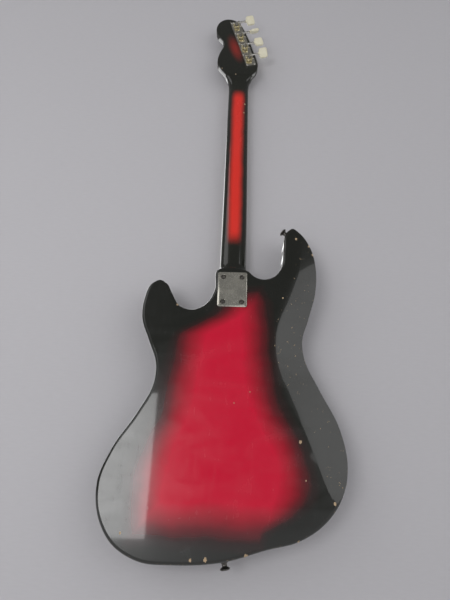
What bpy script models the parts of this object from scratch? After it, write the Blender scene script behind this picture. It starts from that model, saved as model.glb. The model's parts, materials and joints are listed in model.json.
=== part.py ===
"""Four-string electric bass guitar with open worm-gear tuners, modelled in metres.

The instrument hangs upright. +Z runs along the neck towards the head, +Y is the back of the
body, -Y the string side and +X the treble side. The origin lies on the neck's centre line at
the nut, in the plane of the body's front face.
"""

import math

import bmesh
import bpy
from mathutils import Matrix, Vector

# Clearances
GAP = 0.0003
WELD = 0.00002
FACET_ANGLE = math.radians(10)

# Scale, frets and strings, bass side first
SCALE_LENGTH = 0.787
FRET_COUNT = 20
STRING_NAMES = ("e", "a", "d", "g")
STRING_DIAMETERS = (0.00267, 0.00216, 0.00165, 0.00114)
NUT_SPREAD = 0.031
BRIDGE_SPREAD = 0.057
NUT_ACTION = 0.0016
SADDLE_ACTION = 0.0165
WINDING_GAP = 0.00055
WINDING_TURNS = (1.25, 1.35, 1.5, 1.75)
LEAD_IN_TURN = 0.6
LOOP_POINTS = 24

# Neck and fretboard
FRETBOARD_PROUD = 0.010
FRETBOARD_THICKNESS = 0.006
FRETBOARD_RADIUS = 0.254
FRET_HEIGHT = 0.0011
FRET_WIDTH = 0.0024
NECK_WIDTH_NUT = 0.0425
NECK_WIDTH_HEEL = 0.050
NECK_WOOD_NUT = 0.0145
NECK_WOOD_UPPER = 0.0175
HEEL_DEPTH = 0.020
NUT_THICKNESS = 0.005
NUT_HEIGHT = 0.0092
HEEL_PAST_LAST_FRET = 0.015
JOINT_FRET = 16
JOINT_PAST_FRET = 0.006
TRUSS_ROD_DIAMETER = 0.006
TRUSS_ROD_MARGIN = 0.020

# Head
HEAD_THICKNESS = 0.014
HEAD_FACE_DROP = 0.0075
HEAD_EDGE_RADIUS = 0.0012
STRIP_TILT = math.radians(16.2)
STRIP_CENTRE_X = -0.0065
STRIP_CENTRE_Z = 0.1159

# String tree over the two thin strings
TREE_Z = 0.048
TREE_RADIUS = 0.0068
TREE_THICKNESS = 0.0022
TREE_CLEARANCE = 0.0048

# Body
BODY_THICKNESS = 0.040
BODY_EDGE_RADIUS = 0.006
EDGE_SEGMENTS = 2
POCKET_FIT = 0.0004

# Neck plate and its screws
PLATE_WIDTH = 0.050
PLATE_LENGTH = 0.064
PLATE_THICKNESS = 0.002
PLATE_CORNER = 0.0028
PLATE_INSET = 0.005
PLATE_SCREW_SPAN_X = 0.032
PLATE_SCREW_SPAN_Z = 0.046
WOOD_SCREW_DIAMETER = 0.0042
WOOD_SCREW_HEAD = 0.0084
NECK_SCREW_LENGTH = 0.038

# Strap buttons
STRAP_BUTTON_DIAMETER = 0.0145
STRAP_BUTTON_HEIGHT = 0.011
STRAP_SCREW_DIAMETER = 0.0036
STRAP_SCREW_LENGTH = 0.028
HORN_BUTTON_ANGLE = math.radians(43)

# Tuners
TUNER_PITCH = 0.0365
STRIP_WIDTH = 0.0235
STRIP_THICKNESS = 0.0012
STRIP_TOP_MARGIN = 0.019
STRIP_BOTTOM_MARGIN = 0.0175
STRIP_FOLD_HEIGHT = 0.0026
POST_BARREL_DIAMETER = 0.0092
POST_SHAFT_DIAMETER = 0.0079
POST_SEAT_DIAMETER = 0.0050
POST_TOP_ABOVE_HEAD = 0.0115
POST_SCREW_HEAD = 0.0064
BUSHING_WALL = 0.0007
BUSHING_FLANGE = 0.0125
BUSHING_DEPTH = 0.006
GEAR_TEETH = 18
WORM_PITCH = 0.0022
WORM_OUTER_RADIUS = 0.0030
WORM_ROOT_RADIUS = 0.0015
WORM_THREAD_LENGTH = 0.0066
WORM_STEPS_PER_TURN = 9
MESH_CLEARANCE = 0.00035
GEAR_THICKNESS = 0.0040
GEAR_LIFT = 0.0020
EAR_THICKNESS = 0.0012
EAR_SPAN = 0.0112
EAR_WIDTH = 0.0068
SHAFT_JOURNAL_RADIUS = 0.0016
SHAFT_SLEEVE_RADIUS = 0.0022
BUTTON_CENTRE = 0.035
BUTTON_LENGTH = 0.019
BUTTON_WIDTH = 0.021
BUTTON_THICKNESS = 0.006
BUTTON_CORNER = 0.0042
BUTTON_REST_DEGREES = (39.0, 6.0, -51.0, 24.0)

# Pickups, controls and pickguard
PICKUP_LENGTH = 0.092
PICKUP_WIDTH = 0.0195
PICKUP_HEIGHT_ABOVE_BODY = 0.0095
PICKUP_DEPTH = 0.014
PICKUP_WALL = 0.0013
PICKUP_SADDLE_DISTANCES = (0.150, 0.058)
PICKGUARD_THICKNESS = 0.0024
CAVITY_DEPTH = 0.030
CAVITY_RADIUS = 0.020
CHANNEL_WIDTH = 0.012
CHANNEL_DEPTH = 0.014
VOLUME_POT = (0.100, -0.272)
TONE_POT = (0.121, -0.304)
OUTPUT_JACK = (0.143, -0.333)
POT_DIAMETER = 0.024
POT_DEPTH = 0.009
POT_SHAFT_DIAMETER = 0.006
POT_BUSH_DIAMETER = 0.0095
KNOB_DIAMETER = 0.019
KNOB_HEIGHT = 0.015
JACK_BORE = 0.0066
JACK_BUSH_DIAMETER = 0.0095
JACK_LENGTH = 0.021

# Bridge
BRIDGE_WIDTH = 0.078
BRIDGE_FRONT_REACH = 0.012
BRIDGE_TAIL_REACH = 0.032
BRIDGE_PLATE_THICKNESS = 0.002
BRIDGE_FLANGE_HEIGHT = 0.0145
SADDLE_DIAMETER = 0.008
SADDLE_GROOVE_DEPTH = 0.0006
SADDLE_END_MARGIN = 0.0075
BRIDGE_SCREW_DIAMETER = 0.003
STRING_ANCHOR_HEIGHT = 0.0095


def fret_z(number):
    """Height of a fret on the Z axis; the nut lies at zero."""
    return -SCALE_LENGTH * (1 - 2 ** (-number / 12))


# Planes and heights worked out from the sizes above
JOINT_Z = fret_z(JOINT_FRET) - JOINT_PAST_FRET
HEEL_Z = fret_z(FRET_COUNT) - HEEL_PAST_LAST_FRET
SADDLE_Z = -SCALE_LENGTH
BODY_BACK = BODY_THICKNESS
BOARD_FACE = -FRETBOARD_PROUD
WOOD_FACE = BOARD_FACE + FRETBOARD_THICKNESS
POCKET_FLOOR = WOOD_FACE + HEEL_DEPTH
HEAD_FACE = BOARD_FACE + HEAD_FACE_DROP
HEAD_BACK = HEAD_FACE + HEAD_THICKNESS
STRIP_BACK = HEAD_BACK + GAP + STRIP_THICKNESS
GEAR_FRONT = STRIP_BACK + GEAR_LIFT
GEAR_BACK = GEAR_FRONT + GEAR_THICKNESS
WORM_Y = (GEAR_FRONT + GEAR_BACK) / 2
GEAR_PITCH_RADIUS = GEAR_TEETH * WORM_PITCH / (2 * math.pi)
WORM_MEAN_RADIUS = (WORM_OUTER_RADIUS + WORM_ROOT_RADIUS) / 2
WORM_OFFSET = GEAR_PITCH_RADIUS + WORM_MEAN_RADIUS
GEAR_OUTER_RADIUS = WORM_OFFSET - WORM_ROOT_RADIUS - MESH_CLEARANCE
GEAR_ROOT_RADIUS = WORM_OFFSET - WORM_OUTER_RADIUS - MESH_CLEARANCE
POST_TOP = HEAD_FACE - POST_TOP_ABOVE_HEAD
BUSHING_FACE = HEAD_FACE - GAP - 0.0012
TREE_UNDERSIDE = HEAD_FACE - TREE_CLEARANCE
PLATE_CENTRE_Z = JOINT_Z - PLATE_INSET - PLATE_LENGTH / 2

# Body outline from the neck joint, X and Z, round from the tail by the bass side
BODY_OUTLINE = [
    (0.000, -0.4470), (-0.060, -0.4300), (-0.103, -0.4190), (-0.140, -0.3970), (-0.166, -0.3660),
    (-0.180, -0.3110), (-0.172, -0.2630), (-0.1425, -0.2010), (-0.121, -0.1510), (-0.1185, -0.1250),
    (-0.131, -0.0810), (-0.144, -0.0320), (-0.146, 0.0100), (-0.137, 0.0520), (-0.120, 0.0800),
    (-0.106, 0.0900), (-0.0955, 0.0820), (-0.0890, 0.0450), (-0.0840, 0.0080), (-0.072, -0.0080),
    (-0.054, -0.0140), (-0.037, -0.0085), (-0.0280, 0.0000), (0.0287, 0.0000), (0.0305, -0.0360),
    (0.045, -0.0635), (0.066, -0.0740), (0.088, -0.0685), (0.103, -0.0460), (0.114, -0.0270),
    (0.126, -0.0205), (0.140, -0.0280), (0.150, -0.0560), (0.1505, -0.0920), (0.135, -0.1320),
    (0.120, -0.1710), (0.1205, -0.2000), (0.142, -0.2480), (0.1745, -0.3020), (0.190, -0.3500),
    (0.184, -0.3920), (0.160, -0.4290), (0.120, -0.4500), (0.070, -0.4530),
]
BODY_CORNERS = (22, 23)

# Belly contour: height from the neck joint, inner edge and depth at the body's bass edge
BELLY_STATIONS = [
    (0.0780, -0.128, 0.000), (0.0620, -0.117, 0.003), (-0.0105, -0.103, 0.008), (-0.0590, -0.087, 0.010),
    (-0.0950, -0.075, 0.012), (-0.1280, -0.071, 0.013), (-0.1910, -0.080, 0.013), (-0.2200, -0.094, 0.012),
    (-0.2630, -0.118, 0.010), (-0.3050, -0.136, 0.008), (-0.3380, -0.147, 0.005), (-0.3700, -0.163, 0.000),
]
BELLY_REACH = 0.080

# Head outline from the nut, X and Z, round from the nut's treble end
HEAD_OUTLINE = [
    (0.0295, 0.0180), (0.0380, 0.0310), (0.0456, 0.0420), (0.0496, 0.0550), (0.0493, 0.0685),
    (0.0450, 0.0870), (0.0387, 0.1020), (0.0360, 0.1170), (0.0440, 0.1310), (0.0520, 0.1430),
    (0.0560, 0.1620), (0.0530, 0.1790), (0.0450, 0.1910), (0.0286, 0.1975), (0.0120, 0.1930),
    (0.0010, 0.1830), (-0.0090, 0.1620), (-0.0216, 0.1280), (-0.0300, 0.0965), (-0.0380, 0.0710),
    (-0.0415, 0.0550), (-0.0406, 0.0390), (-0.0355, 0.0265), (-0.0275, 0.0180),
]
HEAD_CORNERS = (0, 23)

# Pickguard outline from the neck joint, X and Z
PICKGUARD_OUTLINE = [
    (-0.0310, -0.0420), (-0.0560, -0.0600), (-0.0720, -0.1000), (-0.0740, -0.1500), (-0.0660, -0.2000),
    (-0.0620, -0.2450), (-0.0400, -0.2680), (0.0000, -0.2720), (0.0400, -0.2710), (0.0730, -0.2820),
    (0.0960, -0.3130), (0.1180, -0.3440), (0.1430, -0.3590), (0.1640, -0.3480), (0.1660, -0.3260),
    (0.1470, -0.2960), (0.1260, -0.2590), (0.1060, -0.2190), (0.0960, -0.1740), (0.1000, -0.1340),
    (0.0960, -0.1060), (0.0740, -0.0920), (0.0500, -0.0830), (0.0330, -0.0650),
]
PICKGUARD_CORNERS = (0, 23)


# Scene
for old_object in list(bpy.data.objects):
    bpy.data.objects.remove(old_object, do_unlink=True)

parts = bpy.data.collections.new("electric_bass_guitar")
cutters = bpy.data.collections.new("cutters")
bpy.context.scene.collection.children.link(parts)
bpy.context.scene.collection.children.link(cutters)


def finish_material(name, colour, roughness, metallic=0.0):
    """A Principled material with the finish of one kind of part."""
    material = bpy.data.materials.new(name)
    material.use_nodes = True
    shader = material.node_tree.nodes["Principled BSDF"]
    shader.inputs["Base Color"].default_value = (*colour, 1.0)
    shader.inputs["Roughness"].default_value = roughness
    shader.inputs["Metallic"].default_value = metallic
    return material


RED_LACQUER = finish_material("red_burst_lacquer", (0.35, 0.01, 0.02), 0.15)
BLACK_LACQUER = finish_material("black_lacquer", (0.02, 0.02, 0.016), 0.2)
ROSEWOOD = finish_material("rosewood", (0.09, 0.045, 0.025), 0.5)
BONE = finish_material("bone", (0.85, 0.82, 0.72), 0.4)
CREAM_PLASTIC = finish_material("cream_plastic", (0.86, 0.84, 0.72), 0.3)
BLACK_PLASTIC = finish_material("black_plastic", (0.015, 0.015, 0.015), 0.3)
CHROME = finish_material("chrome", (0.85, 0.83, 0.78), 0.12, 1.0)
DARK_STEEL = finish_material("dark_steel", (0.12, 0.11, 0.10), 0.35, 1.0)
BRASS = finish_material("aged_brass", (0.72, 0.60, 0.34), 0.3, 1.0)
STEEL = finish_material("steel", (0.55, 0.55, 0.55), 0.3, 1.0)
COPPER = finish_material("enamelled_copper", (0.35, 0.12, 0.05), 0.4, 0.6)


# Frames: a solid's local Z axis is laid along the axis named here
FACING_FRONT = Matrix.Rotation(math.radians(90), 4, "X")
FACING_BACK = Matrix.Rotation(math.radians(-90), 4, "X")
ALONG_X = Matrix.Rotation(math.radians(90), 4, "Y")
STRIP_FRAME = (Matrix.Translation((STRIP_CENTRE_X, 0, STRIP_CENTRE_Z))
               @ Matrix.Rotation(STRIP_TILT, 4, "Y"))


def at(x, y, z):
    return Matrix.Translation((x, y, z))


def add_object(name, mesh, material=None, frame=Matrix.Identity(4)):
    """Put a mesh in the model, or among the cutters when it has no material."""
    obj = bpy.data.objects.new(name, mesh)
    obj.matrix_world = frame
    if material is None:
        cutters.objects.link(obj)
        obj.display_type = "WIRE"
        obj.hide_render = True
    else:
        mesh.materials.append(material)
        parts.objects.link(obj)
    return obj


def mesh_from(bm, name):
    bmesh.ops.recalc_face_normals(bm, faces=bm.faces)
    mesh = bpy.data.meshes.new(name)
    bm.to_mesh(mesh)
    bm.free()
    return mesh


def shade_round(obj, angle=35):
    obj.data.shade_smooth()
    obj.data.set_sharp_from_angle(angle=math.radians(angle))


def smooth_loop(points, corners=()):
    """Closed curve through the points, straight into and out of the corners."""
    count = len(points)
    knots = [Vector(point) for point in points]
    lengths = [(knots[(i + 1) % count] - knots[i]).length for i in range(count)]
    slopes = [(knots[(i + 1) % count] - knots[i]) / lengths[i] for i in range(count)]

    def tangent(i):
        before, after = lengths[i - 1], lengths[i]
        return (slopes[i - 1] * after + slopes[i] * before) / (before + after)

    loop = []
    for i in range(count):
        j = (i + 1) % count
        if i in corners and j in corners:
            loop.append(knots[i])
            continue
        leave = slopes[i] if i in corners else tangent(i)
        arrive = slopes[i] if j in corners else tangent(j)
        facets = max(1, round(leave.angle(arrive) / FACET_ANGLE))
        for step in range(facets):
            t = step / facets
            loop.append((2 * t**3 - 3 * t**2 + 1) * knots[i] + (t**3 - 2 * t**2 + t) * lengths[i] * leave
                        + (3 * t**2 - 2 * t**3) * knots[j] + (t**3 - t**2) * lengths[i] * arrive)
    return [(point.x, point.y) for point in loop]


def circle(radius, count, centre=(0.0, 0.0), turn=0.0):
    """Regular polygon whose flats, not corners, stand off by the radius."""
    reach = radius / math.cos(math.pi / count)
    angles = [turn + 2 * math.pi * (i + 0.5) / count for i in range(count)]
    return [(centre[0] + reach * math.cos(a), centre[1] + reach * math.sin(a)) for a in angles]


def rounded_rectangle(width, height, radius, centre=(0.0, 0.0), per_corner=3):
    """Rectangle outline with arcs at its corners."""
    loop = []
    for quarter, (sx, sy) in enumerate(((1, 1), (-1, 1), (-1, -1), (1, -1))):
        corner = (centre[0] + sx * (width / 2 - radius), centre[1] + sy * (height / 2 - radius))
        for step in range(per_corner + 1):
            angle = math.radians(90) * (quarter + step / per_corner)
            loop.append((corner[0] + radius * math.cos(angle), corner[1] + radius * math.sin(angle)))
    return loop


def flat_solid(name, loops, low, high, material=None, frame=Matrix.Identity(4)):
    """Outline loops filled in the frame's XY plane and thickened from low to high along its Z."""
    curve = bpy.data.curves.new(name, "CURVE")
    curve.dimensions = "2D"
    curve.fill_mode = "BOTH"
    curve.extrude = (high - low) / 2
    for loop in loops:
        spline = curve.splines.new("POLY")
        spline.points.add(len(loop) - 1)
        for point, (x, y) in zip(spline.points, loop):
            point.co = (x, y, 0, 1)
        spline.use_cyclic_u = True
    outline = bpy.data.objects.new(name, curve)
    parts.objects.link(outline)
    outline.matrix_world = frame @ at(0, 0, (high + low) / 2)
    return mesh_object_from_curve(outline, name, material)


def mesh_object_from_curve(outline, name, material):
    """Turn a curve object into a welded mesh object in the same place."""
    depsgraph = bpy.context.evaluated_depsgraph_get()
    raw = bpy.data.meshes.new_from_object(outline.evaluated_get(depsgraph))
    place = outline.matrix_world.copy()
    bpy.data.objects.remove(outline, do_unlink=True)
    bm = bmesh.new()
    bm.from_mesh(raw)
    bmesh.ops.remove_doubles(bm, verts=bm.verts, dist=WELD)
    bmesh.ops.dissolve_limit(bm, angle_limit=math.radians(0.2), verts=bm.verts, edges=bm.edges)
    return add_object(name, mesh_from(bm, name), material, place)


def front_solid(name, loops, front, back, material=None):
    """Outline in X and Z, thickened along Y from the front plane to the back plane."""
    return flat_solid(name, loops, -back, -front, material, FACING_FRONT)


def turned(name, profile, frame, material=None, steps=20):
    """Turn a profile of (radius, height) pairs, listed top to bottom, round the frame's Z axis."""
    bm = bmesh.new()
    verts = [bm.verts.new((radius, 0, height)) for radius, height in profile]
    for upper, lower in zip(verts, verts[1:]):
        bm.edges.new((upper, lower))
    if profile[0][0] > 0:
        bm.edges.new((verts[-1], verts[0]))
    mesh = bpy.data.meshes.new(name)
    bm.to_mesh(mesh)
    bm.free()
    obj = add_object(name, mesh, material, frame)
    screw = obj.modifiers.new("turn", "SCREW")
    screw.steps = steps
    screw.render_steps = steps
    screw.use_merge_vertices = True
    screw.merge_threshold = WELD
    screw.use_smooth_shade = False
    return obj


def lofted(name, sections, frame=Matrix.Identity(4), material=None):
    """Closed solid through rings of equal point count."""
    bm = bmesh.new()
    rings = [[bm.verts.new(point) for point in section] for section in sections]
    for lower, upper in zip(rings, rings[1:]):
        for i in range(len(lower)):
            j = (i + 1) % len(lower)
            bm.faces.new((lower[i], lower[j], upper[j], upper[i]))
    bm.faces.new(rings[0])
    bm.faces.new(rings[-1])
    return add_object(name, mesh_from(bm, name), material, frame)


def boolean(target, tool, operation="DIFFERENCE"):
    step = target.modifiers.new(operation.lower() + "_" + tool.name, "BOOLEAN")
    step.operation = operation
    step.object = tool
    step.solver = "EXACT"


def bore(name, radius, near, far, frame, sides=12):
    """Straight cutter with flats at the radius, from near to far along the frame's Z."""
    return flat_solid(name, [circle(radius, sides)], near, far, None, frame)


def bevel_edges(obj, width, segments, angle=60):
    bevel = obj.modifiers.new("round_edges", "BEVEL")
    bevel.width = width
    bevel.segments = segments
    bevel.limit_method = "ANGLE"
    bevel.angle_limit = math.radians(angle)
    bevel.use_clamp_overlap = True


def joined_cutter(name, tools):
    """Several separate cutters as one object, so that one Boolean takes them all."""
    bm = bmesh.new()
    for tool in tools:
        copy = tool.data.copy()
        copy.transform(tool.matrix_world)
        bm.from_mesh(copy)
        bpy.data.objects.remove(tool, do_unlink=True)
    mesh = bpy.data.meshes.new(name)
    bm.to_mesh(mesh)
    bm.free()
    return add_object(name, mesh)


def neck_half_width(z):
    """Half the neck's width, which tapers evenly from the heel's end to the nut."""
    return (NECK_WIDTH_NUT + (NECK_WIDTH_HEEL - NECK_WIDTH_NUT) * z / HEEL_Z) / 2


def screw_places():
    for side in (-1, 1):
        for end in (1, -1):
            yield side * PLATE_SCREW_SPAN_X / 2, PLATE_CENTRE_Z + end * PLATE_SCREW_SPAN_Z / 2


def body_points(loop):
    return [(x, z + JOINT_Z) for x, z in loop]


BODY_LOOP = smooth_loop(body_points(BODY_OUTLINE), BODY_CORNERS)


def horn_seat():
    """The long horn's outermost point along the strap button's axis, and that axis."""
    axis = Vector((math.cos(HORN_BUTTON_ANGLE), math.sin(HORN_BUTTON_ANGLE)))
    horn = [Vector(point) for point in BODY_LOOP if point[0] < 0 and point[1] > JOINT_Z + 0.02]
    seat = max(horn, key=lambda point: point.dot(axis))
    return seat, axis


def tail_seat():
    """The outline's first point, on the centre line, and the outline's normal there."""
    run = Vector(BODY_LOOP[1]) - Vector(BODY_LOOP[-1])
    return Vector(BODY_LOOP[0]), Vector((run.y, -run.x)).normalized() * -1


def strap_frames():
    """Frames with Z pointing out of the body, at the tail and at the long horn."""
    frames = {}
    for place, (seat, axis) in (("tail", tail_seat()), ("horn", horn_seat())):
        turn = Matrix.Rotation(math.atan2(axis.x, axis.y), 4, "Y")
        frames[place] = at(seat.x, BODY_THICKNESS / 2, seat.y) @ turn
    return frames


def pickup_z(distance):
    return SADDLE_Z + distance


def control_place(place):
    return place[0], place[1] + JOINT_Z


def bass_edge(z):
    """Least X of the body's outline at a height."""
    crossings = []
    for (x0, z0), (x1, z1) in zip(BODY_LOOP, BODY_LOOP[1:] + BODY_LOOP[:1]):
        if min(z0, z1) <= z <= max(z0, z1) and z0 != z1:
            crossings.append(x0 + (x1 - x0) * (z - z0) / (z1 - z0))
    return min(crossings)


def body():
    solid = front_solid("body", [BODY_LOOP], 0, BODY_BACK, RED_LACQUER)
    bevel_edges(solid, BODY_EDGE_RADIUS, EDGE_SEGMENTS)

    edge_x = [-(abs(inner) + BELLY_REACH) for _, inner, _ in BELLY_STATIONS]
    rings = []
    for (z, inner, depth), outer in zip(BELLY_STATIONS, edge_x):
        z = z + JOINT_Z
        fall = depth * (inner - outer) / max(inner - bass_edge(z), 0.005)
        above = BODY_BACK + 0.01
        rings.append([(inner, BODY_BACK + 0.0002, z), (outer, BODY_BACK - fall, z),
                      (outer, above, z), (inner, above, z)])
    boolean(solid, lofted("belly_contour_cut", rings))

    half = neck_half_width(HEEL_Z) + POCKET_FIT
    end = HEEL_Z - POCKET_FIT
    start = JOINT_Z + 0.05
    wide = neck_half_width(start) + POCKET_FIT
    outline = [(-half, end), (half, end), (wide, start), (-wide, start)]
    boolean(solid, front_solid("neck_pocket_cut", [outline], -0.01, POCKET_FLOOR + GAP))

    rout_length = PICKUP_LENGTH + 0.002
    routs = []
    for index, distance in enumerate(PICKUP_SADDLE_DISTANCES):
        loop = rounded_rectangle(rout_length, PICKUP_WIDTH + 0.002, 0.004, (0, pickup_z(distance)))
        depth = PICKUP_DEPTH - PICKUP_HEIGHT_ABOVE_BODY + CHANNEL_DEPTH
        routs.append(front_solid(f"pickup_rout_{index}", [loop], -0.01, depth))
    controls = [Vector(control_place(place)) for place in (VOLUME_POT, TONE_POT, OUTPUT_JACK)]
    for rout in routs:
        boolean(solid, rout)
    boolean(solid, front_solid("control_cavity_cut", [slot_loop(controls[0], controls[2], CAVITY_RADIUS)],
                               -0.01, CAVITY_DEPTH))
    near, far = (pickup_z(distance) for distance in PICKUP_SADDLE_DISTANCES)
    runs = (("channel_between_pickups", Vector((0.030, near)), Vector((0.030, far))),
            ("channel_to_controls", Vector((0.036, far)), controls[0]))
    for name, first, last in runs:
        loop = slot_loop(first, last, CHANNEL_WIDTH / 2)
        boolean(solid, front_solid(name, [loop], -0.01, CHANNEL_DEPTH))

    radius = WOOD_SCREW_DIAMETER / 2 + GAP
    holes = [bore(f"plate_hole_{i}", radius, -0.01, BODY_THICKNESS, at(x, 0.01, z) @ FACING_BACK, 8)
             for i, (x, z) in enumerate(screw_places())]
    for place, frame in strap_frames().items():
        holes.append(bore(f"strap_hole_{place}", STRAP_SCREW_DIAMETER / 2 + GAP,
                          -STRAP_SCREW_LENGTH - GAP, 0.01, frame, 8))
    boolean(solid, joined_cutter("body_screw_holes", holes))
    return solid


def slot_loop(first, last, radius, per_end=6):
    """Slot outline with round ends about two points."""
    heading = math.atan2(last.y - first.y, last.x - first.x)
    loop = []
    for centre, start in ((first, heading + math.pi / 2), (last, heading - math.pi / 2)):
        for step in range(per_end + 1):
            angle = start + math.pi * step / per_end
            loop.append((centre.x + radius * math.cos(angle), centre.y + radius * math.sin(angle)))
    return loop


def neck_section(z, half_left, half_right, face, back, squareness):
    """Section of the neck: flat face, and a back between a round C and a square block."""
    ring = []
    for step in range(13):
        angle = math.pi * step / 12
        round_x, round_y = math.cos(angle), math.sin(angle) ** 0.9
        box_x = max(-1.0, min(1.0, math.sqrt(2) * math.cos(angle)))
        box_y = min(1.0, math.sqrt(2) * math.sin(angle))
        x = (1 - squareness) * round_x + squareness * box_x
        y = (1 - squareness) * round_y + squareness * box_y
        half = half_right if x > 0 else half_left
        ring.append((x * half, face + y * (back - face), z))
    return ring


def neck():
    upper_fret_z = fret_z(JOINT_FRET - 2)
    back_nut = WOOD_FACE + NECK_WOOD_NUT
    back_upper = WOOD_FACE + NECK_WOOD_UPPER
    rings = []
    for z in (HEEL_Z, JOINT_Z + 0.004):
        half = neck_half_width(z)
        rings.append(neck_section(z, half, half, WOOD_FACE, POCKET_FLOOR, 1.0))
    for rise, share in ((0.010, 0.75), (0.018, 0.3), (0.028, 0.0)):
        z = JOINT_Z + rise
        back = back_upper + (POCKET_FLOOR - back_upper) * share
        rings.append(neck_section(z, neck_half_width(z), neck_half_width(z), WOOD_FACE, back, share))
    for share in (0.25, 0.5, 0.75, 0.96):
        z = (JOINT_Z + 0.028) * (1 - share)
        half = neck_half_width(z)
        back = back_upper + (back_nut - back_upper) * share
        rings.append(neck_section(z, half, half, WOOD_FACE, back, 0.0))
    nut_half = neck_half_width(0)
    inside = HEAD_BACK - GAP
    for z, widen, face, back, share in (
            (0.000, 0.0010, WOOD_FACE, back_nut, 0.25), (NUT_THICKNESS + 0.0015, 0.0030, WOOD_FACE,
            (back_nut + inside) / 2, 0.5), (0.013, 0.0060, (WOOD_FACE + HEAD_FACE) / 2, inside, 0.75),
            (0.022, 0.0100, HEAD_FACE + 0.001, inside, 0.95), (0.030, 0.0130, HEAD_FACE + 0.003, inside, 1.0)):
        rings.append(neck_section(z, nut_half + widen, nut_half + widen, face, back, share))
    solid = lofted("neck", rings, material=BLACK_LACQUER)

    head = front_solid("head_slab", [smooth_loop(HEAD_OUTLINE, HEAD_CORNERS)], HEAD_FACE, HEAD_BACK)
    bevel_edges(head, HEAD_EDGE_RADIUS, 1)
    boolean(solid, head, "UNION")

    channel = TRUSS_ROD_DIAMETER / 2 + GAP
    outline = [(-channel, HEEL_Z - 0.01), (channel, HEEL_Z - 0.01),
               (channel, -TRUSS_ROD_MARGIN), (-channel, -TRUSS_ROD_MARGIN)]
    boolean(solid, front_solid("truss_channel_cut", [outline], WOOD_FACE - 0.01,
                               WOOD_FACE + 2 * channel))

    pilot = WOOD_SCREW_DIAMETER / 2 + GAP
    reach = BODY_BACK + PLATE_THICKNESS - NECK_SCREW_LENGTH - GAP
    holes = [bore(f"pilot_hole_{i}", pilot, 0, POCKET_FLOOR + 0.01 - reach, at(x, reach, z) @ FACING_BACK, 8)
             for i, (x, z) in enumerate(screw_places())]
    radius = POST_SHAFT_DIAMETER / 2 + GAP + BUSHING_WALL + GAP
    holes += [bore(f"post_hole_{i}", radius, -0.02, 0.02, post_frame(i, (HEAD_FACE + HEAD_BACK) / 2))
              for i in range(4)]
    boolean(solid, joined_cutter("neck_holes", holes))
    return solid


def fretboard():
    """The board's side view with its frets, drawn across the neck, tapered and cambered."""
    top = FRETBOARD_THICKNESS
    side = [(0, -GAP), (top, -GAP)]
    for number in range(1, FRET_COUNT + 1):
        z = fret_z(number)
        crown = top + FRET_HEIGHT
        side += [(top, z + FRET_WIDTH / 2), (crown, z + FRET_WIDTH * 0.25),
                 (crown, z - FRET_WIDTH * 0.25), (top, z - FRET_WIDTH / 2)]
    side += [(top, HEEL_Z), (0, HEEL_Z)]

    columns = (-1.0, -0.4, 0.4, 1.0)
    rings = []
    for column in columns:
        ring = []
        for height, z in side:
            x = column * neck_half_width(z)
            camber = x * x / (2 * FRETBOARD_RADIUS) if height > 0 else 0.0
            ring.append((x, WOOD_FACE - GAP - height + camber, z))
        rings.append(ring)
    return lofted("fretboard", rings, material=ROSEWOOD)


def string_x(index, spread):
    return spread * (index / 3 - 0.5)


def nut():
    """Bone nut with one round-bottomed notch for each string."""
    half = neck_half_width(0) - GAP
    top = WOOD_FACE - NUT_HEIGHT
    edge = [(-half, WOOD_FACE - GAP), (-half, top + 0.0016), (-half + 0.0015, top)]
    for index, diameter in enumerate(STRING_DIAMETERS):
        x = string_x(index, NUT_SPREAD)
        clear = diameter / 2 + GAP
        bottom = string_start(index).y + clear
        edge += [(x - clear, top), (x - clear, bottom - clear * 0.4), (x - clear * 0.4, bottom),
                 (x + clear * 0.4, bottom), (x + clear, bottom - clear * 0.4), (x + clear, top)]
    edge += [(half - 0.0015, top), (half, top + 0.0016), (half, WOOD_FACE - GAP)]
    return flat_solid("nut", [edge], 0, NUT_THICKNESS, BONE)


def truss_rod():
    """Rod with a larger slotted adjuster flush with the heel's end."""
    radius = TRUSS_ROD_DIAMETER / 2
    length = -HEEL_Z - TRUSS_ROD_MARGIN - GAP
    profile = [(0, length), (radius * 0.8, length), (radius, length - 0.001), (radius, 0.011),
               (radius * 0.8, 0.010), (radius * 0.8, 0.009), (radius, 0.008), (radius, 0.0005),
               (radius * 0.55, 0.0), (radius * 0.5, 0.003), (0, 0.003)]
    return turned("truss_rod", profile, at(0, WOOD_FACE + radius + GAP, HEEL_Z), STEEL, 10)


def neck_plate():
    loops = [rounded_rectangle(PLATE_WIDTH, PLATE_LENGTH, PLATE_CORNER, (0, PLATE_CENTRE_Z), 2)]
    front = BODY_BACK + GAP
    plate = front_solid("neck_plate", loops, front, front + PLATE_THICKNESS, CHROME)
    head = WOOD_SCREW_HEAD / 2 + GAP
    shank = WOOD_SCREW_DIAMETER / 2 + GAP
    sinks = []
    for i, (x, z) in enumerate(screw_places()):
        rings = [[(px, py, height) for px, py in circle(radius, 10)]
                 for radius, height in ((shank, -0.005), (shank, 0.0002), (head, PLATE_THICKNESS - 0.0002),
                                        (head, PLATE_THICKNESS + 0.002))]
        sinks.append(lofted(f"countersink_{i}", rings, at(x, front, z) @ FACING_BACK))
    boolean(plate, joined_cutter("neck_plate_holes", sinks))
    return plate


def neck_screws():
    """Oval-headed wood screws, tapered at the point."""
    head = WOOD_SCREW_HEAD / 2
    shank = WOOD_SCREW_DIAMETER / 2
    profile = [(0, 0.0012), (head * 0.55, 0.0009), (head, 0.0), (shank, -PLATE_THICKNESS * 0.9),
               (shank, -NECK_SCREW_LENGTH + 0.006), (0, -NECK_SCREW_LENGTH)]
    face = BODY_BACK + GAP + PLATE_THICKNESS
    for i, (x, z) in enumerate(screw_places()):
        turned(f"neck_screw_{i + 1}", profile, at(x, face, z) @ FACING_BACK, DARK_STEEL, 10)


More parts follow.
